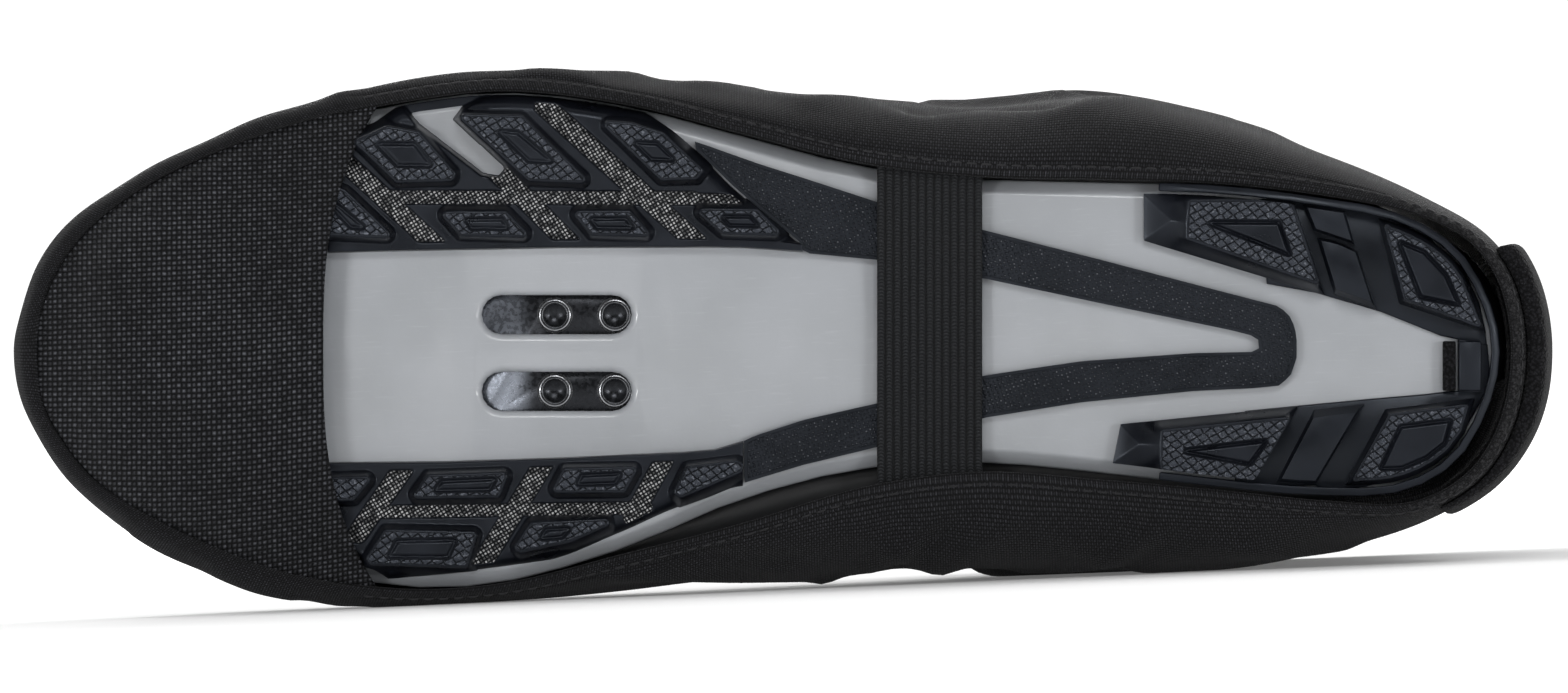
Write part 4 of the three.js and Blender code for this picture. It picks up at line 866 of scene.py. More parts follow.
def build_panel(material):
    low = panel_grid(110, 150)
    x, y = low[..., 0], low[..., 1]
    wave = 0.3 * np.sin(x / 7.5 + y / 19) * np.sin(y / 11 - x / 31)
    ridge = 0.5 * np.exp(-((y - 20 - 0.25 * x) / 5) ** 2) - 0.45 * np.exp(-((y - 31 - 0.1 * x) / 3) ** 2)
    low[..., 2] -= (wave + ridge) * smooth(x, 8, 22)
    share = np.abs(np.sin(np.linspace(-1, 1, low.shape[1]) * math.pi / 2))[None, :]
    rim = np.minimum((1 - share) * 45, x - x[0])
    low[..., 2] += 0.7 * np.exp(-(rim / 0.8) ** 2) - 0.35 * np.exp(-((rim - 3) / 1.6) ** 2)
    high = low + [0, 0, PANEL_THICKNESS]
    points = np.concatenate([low, lip(low[-1], high[-1], np.array([1.0, 0, 0])), high[::-1]])
    obj = face_outwards(grid_object("toe_cover", points, uv=points[..., [1, 0]]), close=True)
    return finish_piece(obj, "woven_panel", material, "toe_panel")


# Elastic strap
STRAP_START, STRAP_WIDTH, STRAP_THICKNESS, STRAP_RIB_HEIGHT, STRAP_TUCK_GAP = 160, 19.4, 1.1, 0.45, 0.8
STRAP_TOP = 4.2
STRAP_HEIGHT = STRAP_TOP - STRAP_THICKNESS - STRAP_RIB_HEIGHT
STRAP_EDGE = 1.5


def strap_section():
    """Places across the strap and their depth under its lowest plane, once round the section."""
    place = np.linspace(0, STRAP_WIDTH, 209)
    ribs = np.abs(np.sin(math.pi * place / ELASTIC_RIB)) ** 0.6
    edge = np.minimum(place, STRAP_WIDTH - place)
    roll = np.sin(np.clip(edge / STRAP_EDGE, 0, 1) * math.pi) ** 0.5
    rib_depth = np.where(edge < STRAP_EDGE, 1 - roll, 1 - 0.85 * ribs) * STRAP_RIB_HEIGHT
    back = np.linspace(STRAP_WIDTH, 0, 20)
    thickness = STRAP_THICKNESS + STRAP_RIB_HEIGHT
    return np.append(place, back), np.append(rib_depth, np.full(20, thickness))


def build_strap(material):
    across, depth = strap_section()
    x = STRAP_START + across

    def tucked(side, level):
        return skin_depth(turn_at(side, x, HEM_LEVEL), level, SKIN_WALL + STRAP_TUCK_GAP + depth)

    def under(share):
        sag = 0.12 * np.sin(9 * share + x / 3)
        return np.stack([x, share * hem_half(share, x), lift(x) + STRAP_HEIGHT + depth + sag], axis=-1)

    levels = np.linspace(-2, -2.9, 6)
    rows = [tucked(-1, level) for level in levels]
    rows += [under(share) for share in np.linspace(-0.93, 0.9, 60)]
    rows += [tucked(1, level) for level in levels[::-1]]
    points = np.array(rows)
    uv = cloth_places(points)
    uv[..., 0] = np.append(across, 0)
    obj = face_outwards(grid_object("elastic_strap", points, closed_columns=True, uv=uv), close=True)
    return finish_piece(obj, "elastic", material, "arch_strap")


# Closure at the back: an outer flap over the shell's loop-covered heel
FLAP_FIRST_TURN, FLAP_LAST_TURN = 23.6 / 52, 30 / 52
FLAP_TAPER_TURN = 26.5 / 52
FLAP_LOW_LEVEL, FLAP_HIGH_LEVEL = -2, 11
FLAP_GAP, FLAP_THICKNESS = 0.4, 3.2


def build_flap(material):
    """The flap's section runs once round it: outside with soft ribs, then the inside."""
    turns = np.linspace(FLAP_FIRST_TURN, FLAP_LAST_TURN, 90)
    levels = np.linspace(FLAP_LOW_LEVEL, FLAP_HIGH_LEVEL, 110)
    turn, level = np.meshgrid(turns, levels)
    relief = crease_heights(skin(turn, level))
    end = np.minimum(turn - FLAP_FIRST_TURN, FLAP_LAST_TURN - turn) / (FLAP_LAST_TURN - FLAP_FIRST_TURN)
    rounding = np.sqrt(1 - (1 - np.clip(end / 0.05, 0, 1)) ** 2)
    foot = np.sqrt(1 - (1 - np.clip((level - FLAP_LOW_LEVEL) / 0.35, 0, 1)) ** 2)
    half = FLAP_THICKNESS / 2 * (0.35 + 0.65 * rounding * foot)
    half *= mix(1, 0.3, smooth(turn, FLAP_TAPER_TURN, FLAP_LAST_TURN))
    middle = FLAP_GAP + half
    seam = 0.35 * np.exp(-((level - FLAP_HIGH_LEVEL + 0.8) / 0.1) ** 2)
    outside = skin_depth(turn, level, -(middle + half - seam + relief))
    inside = skin_depth(turn, level, -(middle - half + relief))
    points = np.concatenate([outside, inside[:, ::-1]], axis=1)
    obj = grid_object("closure_flap", points, closed_columns=True, uv=cloth_places(points))
    return finish_piece(face_outwards(obj, close=True), "closure_fabric", material, "rear_flap")


# Hard parts
def refined(name, node, bevel=0.0, smoothing=0):
    """New object from a solid's mesh: corners welded, edges bevelled by so many mm, or surface subdivided."""
    obj = linked(name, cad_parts[node].data.copy())
    with editing(obj.data) as work:
        bmesh.ops.remove_doubles(work, verts=work.verts, dist=2e-6)
        if smoothing:
            limits = {"angle_face_threshold": 0.7, "angle_shape_threshold": 0.9}
            bmesh.ops.join_triangles(work, faces=work.faces, **limits)
        else:
            bmesh.ops.dissolve_limit(work, angle_limit=math.radians(1.5), verts=work.verts, edges=work.edges)
    if smoothing:
        soft = obj.modifiers.new("smooth", "SUBSURF")
        soft.levels = soft.render_levels = smoothing
    if bevel:
        edge = obj.modifiers.new("edges", "BEVEL")
        edge.width, edge.segments, edge.limit_method = bevel / 1000, 2, "ANGLE"
        edge.angle_limit, edge.use_clamp_overlap = math.radians(32), True
    bpy.context.view_layer.update()
    mesh = bpy.data.meshes.new_from_object(obj.evaluated_get(bpy.context.evaluated_depsgraph_get()))
    obj.modifiers.clear()
    obj.data = mesh
    mesh.set_sharp_from_angle(angle=math.radians(50))
    return obj


def finish_solid(name, node, slot, material, **refinement):
    """A piece that is a solid of the frame with finer edges or a finer surface."""
    return finish_piece(refined(name, node, **refinement), slot, material, node)


def inset(outline, margin):
    """Outline moved outwards by a margin, each side along its own normal."""
    outline = np.asarray(outline, float)
    x, y = outline.T
    turned = np.sign(np.sum(x * np.roll(y, -1) - np.roll(x, -1) * y))
    out = []
    for i, corner in enumerate(outline):
        before, after = unit(corner - outline[i - 1]), unit(outline[(i + 1) % len(outline)] - corner)
        first = np.array([before[1], -before[0]]) * turned
        second = np.array([after[1], -after[0]]) * turned
        out.append(corner + (first + second) * margin / (1 + max(-0.4, float(first @ second))))
    return np.array(out)


def depth_inside(points, outline, corner=0.0):
    """Distance of points inside an outline with rounded corners, less than 0 outside it."""
    outline = inset(outline, -corner) if corner else np.asarray(outline, float)
    closed = np.concatenate([outline, outline[:1]])
    within = np.zeros(points.shape[:-1], bool)
    for low, high in zip(closed[:-1], closed[1:]):
        crosses = (low[1] > points[..., 1]) != (high[1] > points[..., 1])
        at = low[0] + (points[..., 1] - low[1]) * (high[0] - low[0]) / (high[1] - low[1] + 1e-12)
        within ^= crosses & (points[..., 0] < at)
    distance = distance_to_line(points, closed)
    return np.where(within, distance, -distance) + corner


def carve_groove(points, groove, width=0.26, depth=0.75, drop=0.14):
    """Depth of a groove and of the island inside it, and 1 where the face round it keeps its texture."""
    inside = depth_inside(points, groove, 0.3)
    line = depth * np.exp(-((inside - 0.1) / width) ** 2)
    return line + drop * smooth(inside, 0.1, 0.6), 1 - smooth(inside, -0.6, -0.25)


# Forefoot tread: corners of each lug's face, and of the groove round the island in it, in the shoe frame
FOREFOOT_LUGS = [
    ([(63.3, -38.8), (69.6, -41.6), (75.5, -40.5), (82.2, -32.9), (81.6, -31.5), (71.2, -31.2)],
     [(67.8, -38.3), (74.7, -38.4), (77.7, -34.3), (71.4, -34.3)]),
    ([(83.1, -43.4), (94.5, -43.5), (106.2, -31.5), (95.7, -31.5)],
     [(90.2, -40.6), (93.7, -40.5), (99.9, -35.1), (95.7, -35.1)]),
    ([(109.6, -42.1), (114.6, -42.2), (120.6, -40.3), (128, -33.4), (126.7, -31.8), (120.1, -31.6)],
     [(115.3, -38.5), (119.4, -38.5), (122.4, -35.4), (118.3, -35.4)]),
    ([(57.5, -31.4), (61.8, -29.8), (70.1, -21.3), (57.5, -21.5)],
     [(58.7, -27.6), (60.6, -26.9), (65.2, -22.9), (62.8, -22.9)]),
    ([(79.6, -25.6), (91.5, -25.9), (95.4, -21.4), (83, -21.4)],
     [(84, -24.4), (90.9, -24.5), (91.9, -22.7), (85, -22.7)]),
    ([(104, -25.7), (114.4, -26), (118, -21.5), (107.2, -21.5)],
     [(107, -24.5), (113.7, -24.6), (114.9, -22.8), (108.2, -22.8)]),
    ([(127, -26), (137.9, -26.3), (142, -21.7), (131.4, -21.7)],
     [(131.4, -24.9), (136.6, -25), (138, -23.2), (132.6, -23.2)]),
    ([(57.5, 23.3), (66.5, 23.3), (63.4, 27.5), (57.5, 27.5)], None),
    ([(76.9, 22.8), (92, 22.3), (90.2, 26.9), (74.2, 27)],
     [(79.5, 23.9), (89.6, 23.5), (88.5, 25.5), (78.3, 25.7)]),
    ([(102.1, 21.6), (115.8, 21.4), (113.4, 26), (99.9, 26)],
     [(105.4, 22.8), (112.7, 22.5), (111.7, 24.4), (104.5, 24.6)]),
    ([(124.7, 21.3), (134, 20.1), (135.6, 20.9), (134.9, 22.3), (123.8, 27), (122.3, 26.2)], None),
    ([(69.1, 32.9), (86.3, 33.3), (84.3, 39.9), (66.4, 39.3), (65.6, 38.2)],
     [(71.3, 34.9), (82.3, 34.7), (80.8, 38), (69.7, 37.9)]),
    ([(96, 31.6), (110.3, 31.5), (103.4, 35.1), (94, 37.1), (92.8, 36.4)],
     [(98.8, 32.8), (103.2, 32.7), (101.9, 34.3), (97.8, 34.6)]),
]
# Woven channels between the lugs: start, end and half width
CHANNELS = [
    ((58, -38.3), (78.9, -19.2), 1.75), ((86.5, -36.5), (104, -19.2), 1.85),
    ((98.5, -45.4), (127.6, -19.2), 1.85), ((70, -28.5), (126, -28.3), 1.25),
    ((126, -28.3), (134.5, -28.1), 0.9),
    ((74, 19.4), (64, 33.6), 1.8), ((99.2, 19.4), (87, 39.2), 1.8), ((121, 19.4), (114.8, 30.6), 1.7),
    ((66, 29.7), (117.4, 28.9), 1.15),
]
# Bare plate between the first two outer lugs
WEDGE = [(69, -52), (71.8, -46.4), (75.4, -42.2), (87.2, -33.1), (90, -32.7), (91, -33.9), (81.4, -42.9),
         (83.2, -45.3), (86.7, -47), (92, -48.2), (92, -52)]
# Outer limit of the tread behind the ball: along, outer, inner
TREAD_TURN = np.array([
    [0.19, 0.86, 0.92], [0.35, 0.94, 0.82], [0.4, 0.885, 0.71], [0.43, 0.795, 0.63], [0.455, 0.68, 0.575],
    [0.475, 0.575, 0.535], [0.517, 0.385, 0.5],
])
TREAD_START, TREAD_PANEL_INSET, TREAD_INSET = 58.5, 2.6, 0.4
TREAD_END = {-1: 146.2, 1: 135.2}
# Border of the tread towards the plate: x, outer side, inner side
TREAD_BORDER = np.array([
    [58, 18.1, 20.4], [80, 18.6, 20.2], [102, 19, 19.5], [124, 19.1, 18.5], [130, 19.1, 18.0],
    [135.4, 19, 16.4], [147, 18.2, 12],
])
PAD_SPACING, PAD_BACK, PAD_BED = 0.24, 6.6, 6.35
# How far thin rubber reaches into the plate
SUNK = 0.2
CHANNEL_FLOOR, LEDGE_INSIDE, LEDGE_AT_RIM, BORDER_HEIGHT = 4.3, 3.3, 2.5, 3.3
LUG_WALL_RUN, LUG_CORNER = 2.2, 0.7


def tread_border(side, x):
    return np.interp(x, TREAD_BORDER[:, 0], TREAD_BORDER[:, 1 if side < 0 else 2])


def tread_edge(side, x):
    half, column = (OUTER_HALF_WIDTH, 1) if side < 0 else (INNER_HALF_WIDTH, 2)
    turned = half * read_curve(TREAD_TURN[:, 0], TREAD_TURN[:, column], x / SKIN_LENGTH)
    margin = mix(TREAD_PANEL_INSET, TREAD_INSET, smooth(x, PANEL_SIDE_LENGTH - 1, PANEL_SIDE_LENGTH + 5))
    return np.maximum(tread_border(side, x) + 1.6, np.minimum(turned, sole_half(side, x) - margin))


def forefoot_relief(side, spots, from_border, from_rim):
    """Depth above the lug faces, and the masks of the scaled faces and of the woven channels."""
    ledge = mix(LEDGE_INSIDE, LEDGE_AT_RIM, smooth(from_border, 9, 20))
    height = ledge + (PAD_BACK - ledge) * (1 - np.clip(from_rim / 3.2, 0, 1)) ** 2.4
    scales, grooves = np.zeros_like(height), np.zeros_like(height)
    for face, groove in FOREFOOT_LUGS:
        if face[0][1] * side < 0:
            continue
        inside = depth_inside(spots, face, LUG_CORNER)
        ramp = np.clip(-inside / LUG_WALL_RUN, 0, 1)
        height = np.minimum(height, PAD_BACK * mix(ramp, smooth(ramp, 0, 1), 0.3))
        textured = smooth(inside, 0.2, 0.5)
        if groove:
            depth, around = carve_groove(spots, groove)
            grooves += depth
            textured = textured * around
        scales = np.maximum(scales, textured)
    strip = 1 - smooth(from_border, 1.5, 2.0)
    height = mix(height, np.minimum(height, BORDER_HEIGHT), strip)
    woven = np.zeros_like(height)
    for start, end, half in CHANNELS:
        if start[1] * side > 0:
            reach = half - distance_to_line(spots, np.array([start, end], float))
            woven = np.maximum(woven, smooth(reach, -0.12, 0.22))
    woven *= (1 - strip) * smooth(from_rim, 0.9, 1.5)
    height = mix(height + grooves, CHANNEL_FLOOR, woven)
    height = mix(PAD_BACK, height, smooth(from_border, -0.01, 0.35))
    if side < 0:
        bare = smooth(depth_inside(spots, WEDGE, 0.5), -0.9, 0.1)
        height, woven, scales = mix(height, PAD_BED, bare), woven * (1 - bare), scales * (1 - bare)
    return height, scales, woven


def build_forefoot(side, rubber):
    """Tread of one side as a closed grid: its relief, then a flat back of fewer columns."""
    start, end = TREAD_START, TREAD_END[side]
    xs = np.linspace(start, end, int((end - start) / PAD_SPACING))
    edge, border = tread_edge(side, xs), tread_border(side, xs)[:, None]
    count = int((edge - border[:, 0]).max() / PAD_SPACING)
    x, share = np.meshgrid(xs, np.linspace(0, 1, count), indexing="ij")
    across = border + share * (edge[:, None] - border)
    spots = np.stack([x, side * across], axis=-1)
    lean = np.hypot(1, np.gradient(edge, xs))[:, None]
    height, *masks = forefoot_relief(side, spots, across - border, (edge[:, None] - across) / lean)
    keep = np.unique([*range(0, count, 9), count - 1])[::-1]
    levels = (lift(x) + height, lift(x) + PAD_BACK)
    face, back = (np.concatenate([spots, level[..., None]], axis=-1) for level in levels)
    scales, woven = (np.concatenate([mask, np.zeros((len(xs), len(keep)))], axis=1) for mask in masks)
    hand = "outer" if side < 0 else "inner"
    obj = grid_object("forefoot_" + hand, np.concatenate([face, back[:, keep]], axis=1), closed_columns=True)
    face_outwards(marked(obj, scales=scales, woven=woven), close=True)
    return finish_piece(obj, "tread_rubber", rubber, "forefoot_tread_" + hand)


# Heel lugs as in the solids: name, rim front, rim back, middle front, middle back, bow, as shares of the
# length and the half width. Then the face, or how far it lies inside the footprint, and the groove, in mm.
HEEL_LUGS = [
    ("heel_tread_outer", (0.7423, -0.58), (0.841, -0.541), (0.7423, -0.392), (0.8608, -0.198), 0.02,
     [(217.3, -28), (236.5, -28.1), (241.6, -12.4), (217, -20.8)],
     [(221.6, -23.7), (234.2, -23.9), (236.2, -17.8)]),
    ("heel_lug_outer", (0.896, -0.484), (0.9532, -0.3), (0.9098, -0.168), (0.966, -0.069), 0.28,
     0.9, [(256.3, -20.2), (261, -18.4), (265, -14.2), (267.4, -8.6), (260.2, -10)]),
    ("heel_tread_inner", (0.722, 0.476), (0.8149, 0.556), (0.7272, 0.284), (0.8431, 0.215), 0.02,
     [(212.1, 21.9), (229.3, 25.5), (236.5, 12.2), (212.3, 14.5)],
     [(217, 18.4), (228.8, 20.9), (231.8, 16.5)]),
    ("heel_lug_inner", (0.8737, 0.554), (0.953, 0.36), (0.9006, 0.226), (0.9595, 0.182), 0.28,
     0.9, [(256.5, 13.8), (266, 12.6), (264.8, 17), (261.3, 19.7), (256.8, 21.6), (252.8, 21.7)]),
]
HEEL_RIM_ROOM = 2.0
HEEL_LUG_COLUMNS, HEEL_LUG_ROWS = 260, 84
# Thin rubber between the heel's lugs, its blocks and its rim
HEEL_WEBS = [
    [(231, -28.2), (240, -28.4), (248, -26.9), (255.5, -24.4), (262, -21), (268.3, -15.4), (271.3, -9),
     (272.5, -3.6), (272.7, -1), (264.1, -2.9), (253.1, -7.3), (241.1, -10.8), (232, -12.5)],
    [(226, 24.3), (231, 24.8), (241, 24.8), (242.8, 25.9), (250, 25.1), (256.5, 23.3), (262.5, 20.6),
     (267.9, 15.8), (271.3, 9.8), (272.4, 7.4), (266.1, 7.3), (261.1, 7.9), (250.6, 8.8), (237, 10.1),
     (228, 11)],
    [(267.3, -2.5), (272.8, -1.3), (273.2, 3), (272.8, 7.8), (267.3, 7.6)],
]
HEEL_WEB_LEVEL = 4.9


def heel_footprint(front, back, mid_front, mid_back, bow):
    def spot(x, y):
        return np.array([x * SKIN_LENGTH, y * (OUTER_HALF_WIDTH if y < 0 else INNER_HALF_WIDTH)])

    side = np.sign(front[1])
    rim_side = []
    for share in np.linspace(0, 1, 9):
        x, y = mix(spot(*front), spot(*back), share)
        slant = sole_half(side, x + 0.5) - sole_half(side, x - 0.5)
        room = sole_half(side, x) - HEEL_RIM_ROOM * np.hypot(1, slant)
        rim_side.append([x, side * min(abs(y) * (1 + bow * math.sin(math.pi * share)), float(room))])
    return np.array([*rim_side, spot(*mid_back), spot(*mid_front)])


def slab_object(name, outline, low, high):
    """Flat piece with a rounded lower edge."""
    rings = [(0, high), (0, low + 0.3), (-0.1, low + 0.1), (-0.3, low)]
    points = [np.column_stack([inset(outline, out), np.full(len(outline), level)]) for out, level in rings]
    return face_outwards(grid_object(name, np.array(points), closed_columns=True), close=True)


def build_heel_lug(name, front, back, mid_front, mid_back, bow, face, groove, rubber):
    """A lug of rings that shrink from its footprint to its middle, raised by the distance to its face."""
    footprint = heel_footprint(front, back, mid_front, mid_back, bow)
    face = inset(footprint, -face) if isinstance(face, float) else face
    closed = np.concatenate([footprint, footprint[:1]])
    reach = arc_lengths(closed)
    ring = read_line(closed, reach, np.linspace(0, reach[-1], HEEL_LUG_COLUMNS, endpoint=False))
    middle = np.mean(face, axis=0)
    shares = np.linspace(1, 0.02, HEEL_LUG_ROWS)[:, None, None]
    spots = middle + (ring - middle) * shares
    inside = depth_inside(spots, face, 0.5)
    to_edge = np.maximum(0, depth_inside(spots, footprint))
    ramp = np.clip(-inside / np.maximum(1e-6, np.maximum(-inside, 0) + to_edge), 0, 1)
    depth, around = carve_groove(spots, groove, 0.3, 0.8)
    height = CHANNEL_HEIGHT * mix(ramp, smooth(ramp, 0, 1), 0.25) + depth
    points = np.concatenate([spots, height[..., None]], axis=-1)
    wall_levels = (TREAD_TOP + 0.25, TREAD_TOP - 0.4)
    walls = [np.column_stack([ring, np.full(len(ring), level)]) for level in wall_levels]
    points = np.concatenate([np.array(walls), points])
    points[..., 2] += lift(points[..., 0])
    scales = np.concatenate([np.zeros((2, len(ring))), smooth(inside, 0.25, 0.6) * around])
    obj = grid_object(name.replace("heel_", "heel_detail_"), points, closed_columns=True)
    face_outwards(marked(obj, scales=scales, woven=np.zeros_like(scales)), close=True)
    obj.data.set_sharp_from_angle(angle=math.radians(60))
    return finish_piece(obj, "tread_rubber", rubber, name)


def build_heel_webs(rubber):
    slabs = [slab_object("web", outline, HEEL_WEB_LEVEL, TREAD_TOP + SUNK) for outline in HEEL_WEBS]
    return finish_piece(joined("heel_webs", slabs), "tread_rubber", rubber)


# Band along the arch: its edges as points of the shoe frame, from the forefoot to the tip
BAND_RIM_SIDE = [
    (126.3, -38.8), (128.7, -38), (138.3, -34.6), (146.3, -32.1), (160.4, -27.5), (180.2, -22.3),
    (201.8, -16.8), (225.5, -10.6), (234.4, -8.3), (236.6, -6.1), (237.5, -3), (237.5, 1.2), (236.5, 4.2),
    (234.5, 6.3),
]
BAND_INNER_SIDE = [
    (229.7, 6.8), (218.7, 7.3), (197.8, 9.4), (180.2, 12.2), (160.4, 17.6), (146.3, 21), (135.4, 24.3),
]
BAND_NOTCH = [
    (135.4, 16.4), (138.3, 15.3), (146.3, 12.7), (160.4, 9.5), (180.2, 4.4), (197.8, 1.8), (218.7, 0.3),
    (229.4, 0.1), (230.6, -0.6), (230.4, -2.2), (229, -3), (225.5, -3.9), (201.8, -8.8), (180.2, -13.4),
    (160.4, -16.9), (146.5, -18.2),
]
BAND_HEIGHT, BAND_BORDER, BAND_TREAD_GAP = 4.5, 0.9, 0.12


def closely(points, spacing):
    """Line with more points, so far apart at most."""
    points = np.asarray(points, float)
    reach = arc_lengths(points)
    return read_line(points, reach, np.linspace(0, reach[-1], int(reach[-1] / spacing) + 2))


def build_band(material):
    """A flat moulding whose underside is marked for dots, except for its border."""
    beside_tread = np.linspace(145.6, 126.6, 30)
    start = np.column_stack([beside_tread, -tread_edge(-1, beside_tread) - BAND_TREAD_GAP])
    outline = closely([*BAND_RIM_SIDE, *BAND_INNER_SIDE, *BAND_NOTCH, *start], 1.6)
    mesh = bpy.data.meshes.new("band")
    with editing(mesh) as work:
        levels = (BAND_HEIGHT, TREAD_TOP + SUNK)
        low, high = ([work.verts.new((x, y, level)) for x, y in outline] for level in levels)
        under = work.faces.new(low)
        work.faces.new(high[::-1])
        for i in range(len(low)):
            work.faces.new([low[i - 1], high[i - 1], high[i], low[i]])
        layer = work.verts.layers.float.new("dots")
        for thickness, depth in ((0.35, -0.3), (BAND_BORDER - 0.35, 0.0), (0.15, 0.12)):
            bmesh.ops.inset_region(work, faces=[under], thickness=thickness, depth=0, use_even_offset=True)
            for vert in under.verts:
                vert.co.z += depth
        for vert in under.verts:
            vert[layer] = 1
        bmesh.ops.triangulate(work, faces=[face for face in work.faces if len(face.verts) > 4])
        bmesh.ops.recalc_face_normals(work, faces=work.faces)
        spots = np.array([vert.co for vert in work.verts])
        spots[:, 2] += lift(spots[:, 0])
        for vert, spot in zip(work.verts, place(spots)):
            vert.co = spot
    return finish_piece(face_outwards(linked("band", mesh)), "tread_rubber", material, "arch_band")


# Nut plate: four threaded bosses stand in its holes. Their profile is radius and level, and some rims carry a
# painted highlight.
HOLE_PITCH_ALONG, HOLE_PITCH_ACROSS = 11.1, 14
BOSS_PROFILE = [
    (3.3, 8.75), (3.3, 8.5), (3.05, 8.4), (3.0, 7.75), (2.85, 7.6), (2.5, 7.58), (2.3, 7.7), (2.1, 8.0),
    (2.2, 8.15), (2.05, 8.3), (2.2, 8.5), (2.05, 8.7), (2.2, 8.9), (2.05, 9.1), (2.2, 9.3), (2.05, 9.5),
    (2.1, 9.7), (1.9, 9.75),
]
BOSS_RIMS, BOSS_STEPS = (1, 2, 4, 6), 64


def build_boss(centre):
    angles = np.arange(BOSS_STEPS) * 2 * math.pi / BOSS_STEPS
    radius, height = (column[:, None] for column in np.array(BOSS_PROFILE).T)
    points = np.stack([centre[0] + radius * np.cos(angles), centre[1] + radius * np.sin(angles),
                       height + 0 * angles], axis=-1)
    # marks the rim corners that get the painted highlight
    worn = np.repeat(np.isin(np.arange(len(BOSS_PROFILE)), BOSS_RIMS), BOSS_STEPS)
    return face_outwards(marked(grid_object("boss", points, closed_columns=True), worn=worn), close=True)


def build_nut_plate(steel):
    pieces = [refined("nut_plate", "cleat_nut_plate", bevel=0.15)]
    for across in (-0.5, 0.5):
        for along in (-0.5, 0.5):
            pieces.append(build_boss([NUT_PLATE_X + along * HOLE_PITCH_ALONG,
                                      SLOT_CENTRE_ACROSS + across * HOLE_PITCH_ACROSS]))
    return finish_piece(joined("nut_plate", pieces), "nut_steel", steel, "cleat_nut_plate")


# Camera, light and floor. The scale holds at one level of the sole.
PIXELS_PER_MM, SCALE_LEVEL = 5.4, 12
FRAME_PIXELS = (1568, 693)
TOE_PIXEL, CENTRE_LINE_PIXEL = 13, 351.4
CAMERA_DISTANCE, SENSOR = 3.5, 36
WORLD_FRONT, WORLD_BACK = 0.12, 1.15
FLOOR_REACH = 24


def build_camera():
    """Looks square at the sole, turned with the shoe's roll, and level with the floor."""
    x = (FRAME_PIXELS[0] / 2 - TOE_PIXEL) / PIXELS_PER_MM
    y = (FRAME_PIXELS[1] / 2 - CENTRE_LINE_PIXEL) / PIXELS_PER_MM
    target = place([x, y, SCALE_LEVEL])
    data = bpy.data.cameras.new("camera")
    data.sensor_width = SENSOR
    data.lens = SENSOR * CAMERA_DISTANCE * 1000 / (FRAME_PIXELS[0] / PIXELS_PER_MM)
    data.clip_start, data.clip_end = 0.05, 50
    camera = linked("camera", data)
    right, up = Vector(ROTATION @ [1, 0, 0]), Vector(ROTATION @ [0, -1, 0])
    back = right.cross(up)
    camera.matrix_world = Matrix((right, up, back)).transposed().to_4x4()
    camera.location = Vector(target) + back * CAMERA_DISTANCE
    bpy.context.scene.camera = camera


def area_light(name, location, size, power, target=(0, 0, 0.05)):
    data = bpy.data.lights.new(name, "AREA")
    data.shape, data.size, data.size_y, data.energy = "RECTANGLE", *size, power
    light = linked(name, data)
    light.location = location
    light.rotation_euler = (Vector(target) - Vector(location)).to_track_quat("-Z", "Y").to_euler()


def build_stage():
    """Pale floor out to the horizon that glows, faintly near the shoe and more towards the back, and a world
    that is brighter behind the shoe.
    """
    reach = np.linspace(-FLOOR_REACH, FLOOR_REACH, 9)
    faces, _ = grid_faces(len(reach), len(reach))
    mesh = bpy.data.meshes.new("floor")
    mesh.from_pydata([(x, y, 0) for y in reach for x in reach], [], faces.tolist())
    shader = Shader("glowing_floor_paper", Roughness=0.9, Specular_IOR_Level=0.1, Emission_Color=(1, 1, 1))
    # painted light: the floor glows, faintly near the shoe and more the further back it lies
    depth_in = shader.parts(shader.millimetres())[1]
    shader.set(Base_Color=shader.blend(shader.noise(0.004), (0.86, 0.86, 0.86), (0.9, 0.9, 0.9)),
               Emission_Strength=shader.ranged(depth_in, 100.0, 1800.0, 0.12, 0.75))
    mesh.materials.append(shader.material)
    linked("floor", mesh)
    world = bpy.context.scene.world = bpy.data.worlds.new("studio")
    world.use_nodes = True
    tree = world.node_tree
    background = tree.nodes["Background"]
    background.inputs["Color"].default_value = (1, 1, 1, 1)
    parts = tree.nodes.new("ShaderNodeSeparateXYZ")
    tree.links.new(tree.nodes.new("ShaderNodeTexCoord").outputs["Generated"], parts.inputs[0])
    ramp = tree.nodes.new("ShaderNodeMapRange")
    limits = {"From Min": -0.6, "From Max": 0.7, "To Min": WORLD_FRONT, "To Max": WORLD_BACK}
    for key, value in limits.items():
        ramp.inputs[key].default_value = value
    tree.links.new(parts.outputs[1], ramp.inputs["Value"])
    tree.links.new(ramp.outputs[0], background.inputs["Strength"])
    bpy.context.scene.view_settings.view_transform = "Standard"


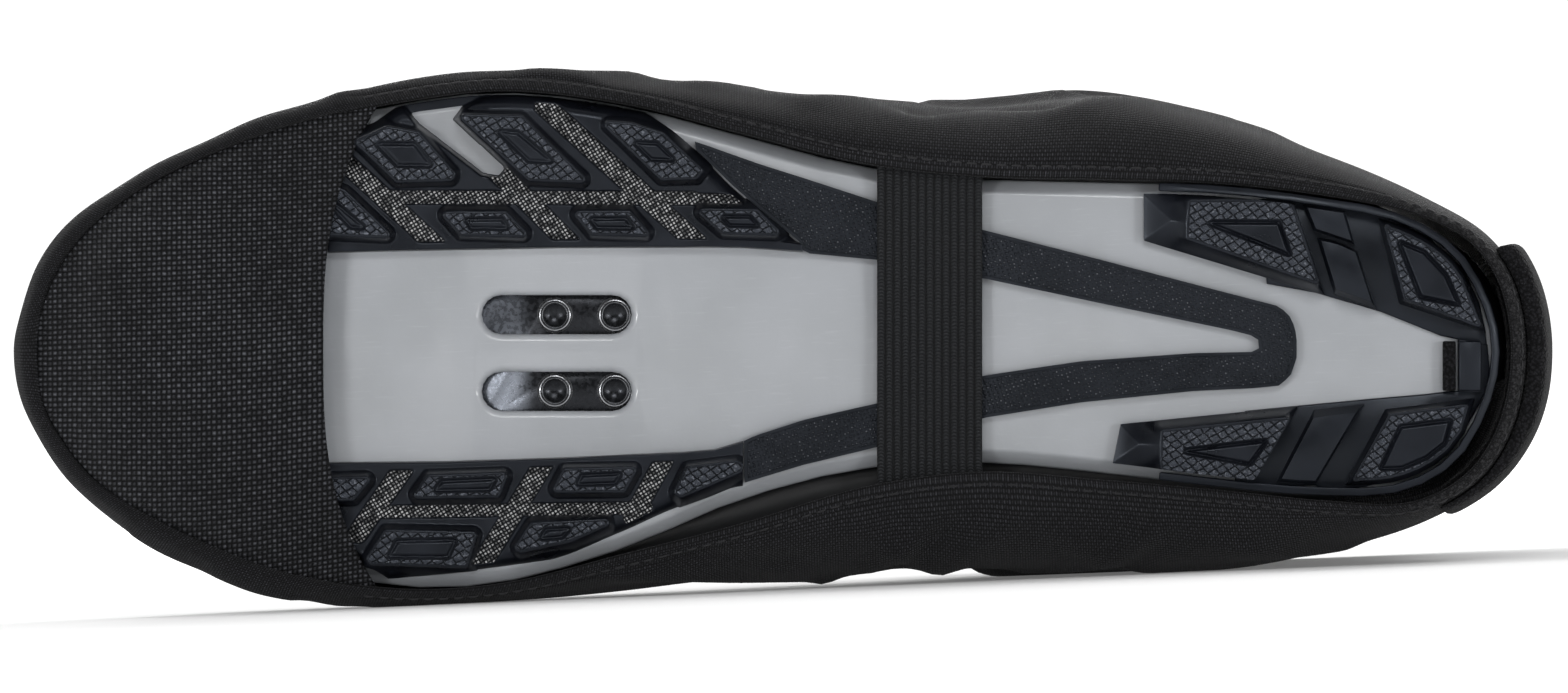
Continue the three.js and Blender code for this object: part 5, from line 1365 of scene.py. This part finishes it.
def build_lights():
    """Soft lights. Two small ones beside the camera glint on the plate."""
    area_light("key", (0.15, -1.7, 1.0), (0.7, 0.4), 9)
    area_light("toe_side", (-1.3, -1.9, 0.16), (0.5, 0.3), 11)
    area_light("heel_side", (1.5, -1.7, 0.14), (0.5, 0.3), 10)
    area_light("back", (-0.5, 2.4, 0.8), (0.7, 0.5), 16)
    area_light("rim", (0.9, 1.4, 1.1), (1.0, 0.6), 10)
    bpy.context.view_layer.update()
    camera = bpy.context.scene.camera
    for name, rise in (("upper_glint", 0.032), ("lower_glint", -0.036)):
        spot = camera.matrix_world @ Vector((-0.15, rise, 0))
        area_light(name, spot, (0.05, 0.016), 0.16, place([94, 0, 5]))
    area_light("top", (-0.9, 0.7, 1.5), (0.7, 0.4), 8)


build_camera()
build_lights()
build_stage()

shell, shell_climb = build_shell(shell_material())
seam, seam_normals = (row_at(grid, shell_climb, HEM_FOLD - 0.5) for grid in (shell, grid_normals(shell)))
past_toe = seam[:, 0] > TOE_SEAM_END
build_stitches(seam[past_toe], seam_normals[past_toe], thread_material())
build_panel(panel_material())
build_strap(elastic_material())
closure = closure_material()
build_flap(closure)
lug_rubber, rubber = lug_material(), rubber_material()
finish_solid("closure_strip", "rear_loop_strip", "closure_fabric", closure, smoothing=1)
finish_solid("shoe_shell", "shoe_upper", "shoe_synthetic", shoe_material(), smoothing=2)
finish_solid("insole_pad", "insole", "insole_foam", insole_material(), bevel=0.9)
finish_solid("plate", "sole_plate", "plate_grey", plate_material(), bevel=0.45)
build_nut_plate(steel_material())
for hand in (-1, 1):
    build_forefoot(hand, lug_rubber)
for lug in HEEL_LUGS:
    build_heel_lug(*lug, lug_rubber)
finish_solid("toe_rubber", "toe_tread", "tread_rubber", rubber, bevel=0.3)
build_band(band_material())
build_heel_webs(rubber)
for node in ("heel_block_outer", "heel_block_centre", "heel_block_inner", "heel_rim", "heel_rear_block"):
    finish_solid(node.replace("heel_", "heel_detail_"), node, "tread_rubber", rubber, bevel=0.3)
finish_solid("heel_bar", "heel_rear_bar", "closure_fabric", closure, bevel=0.3)
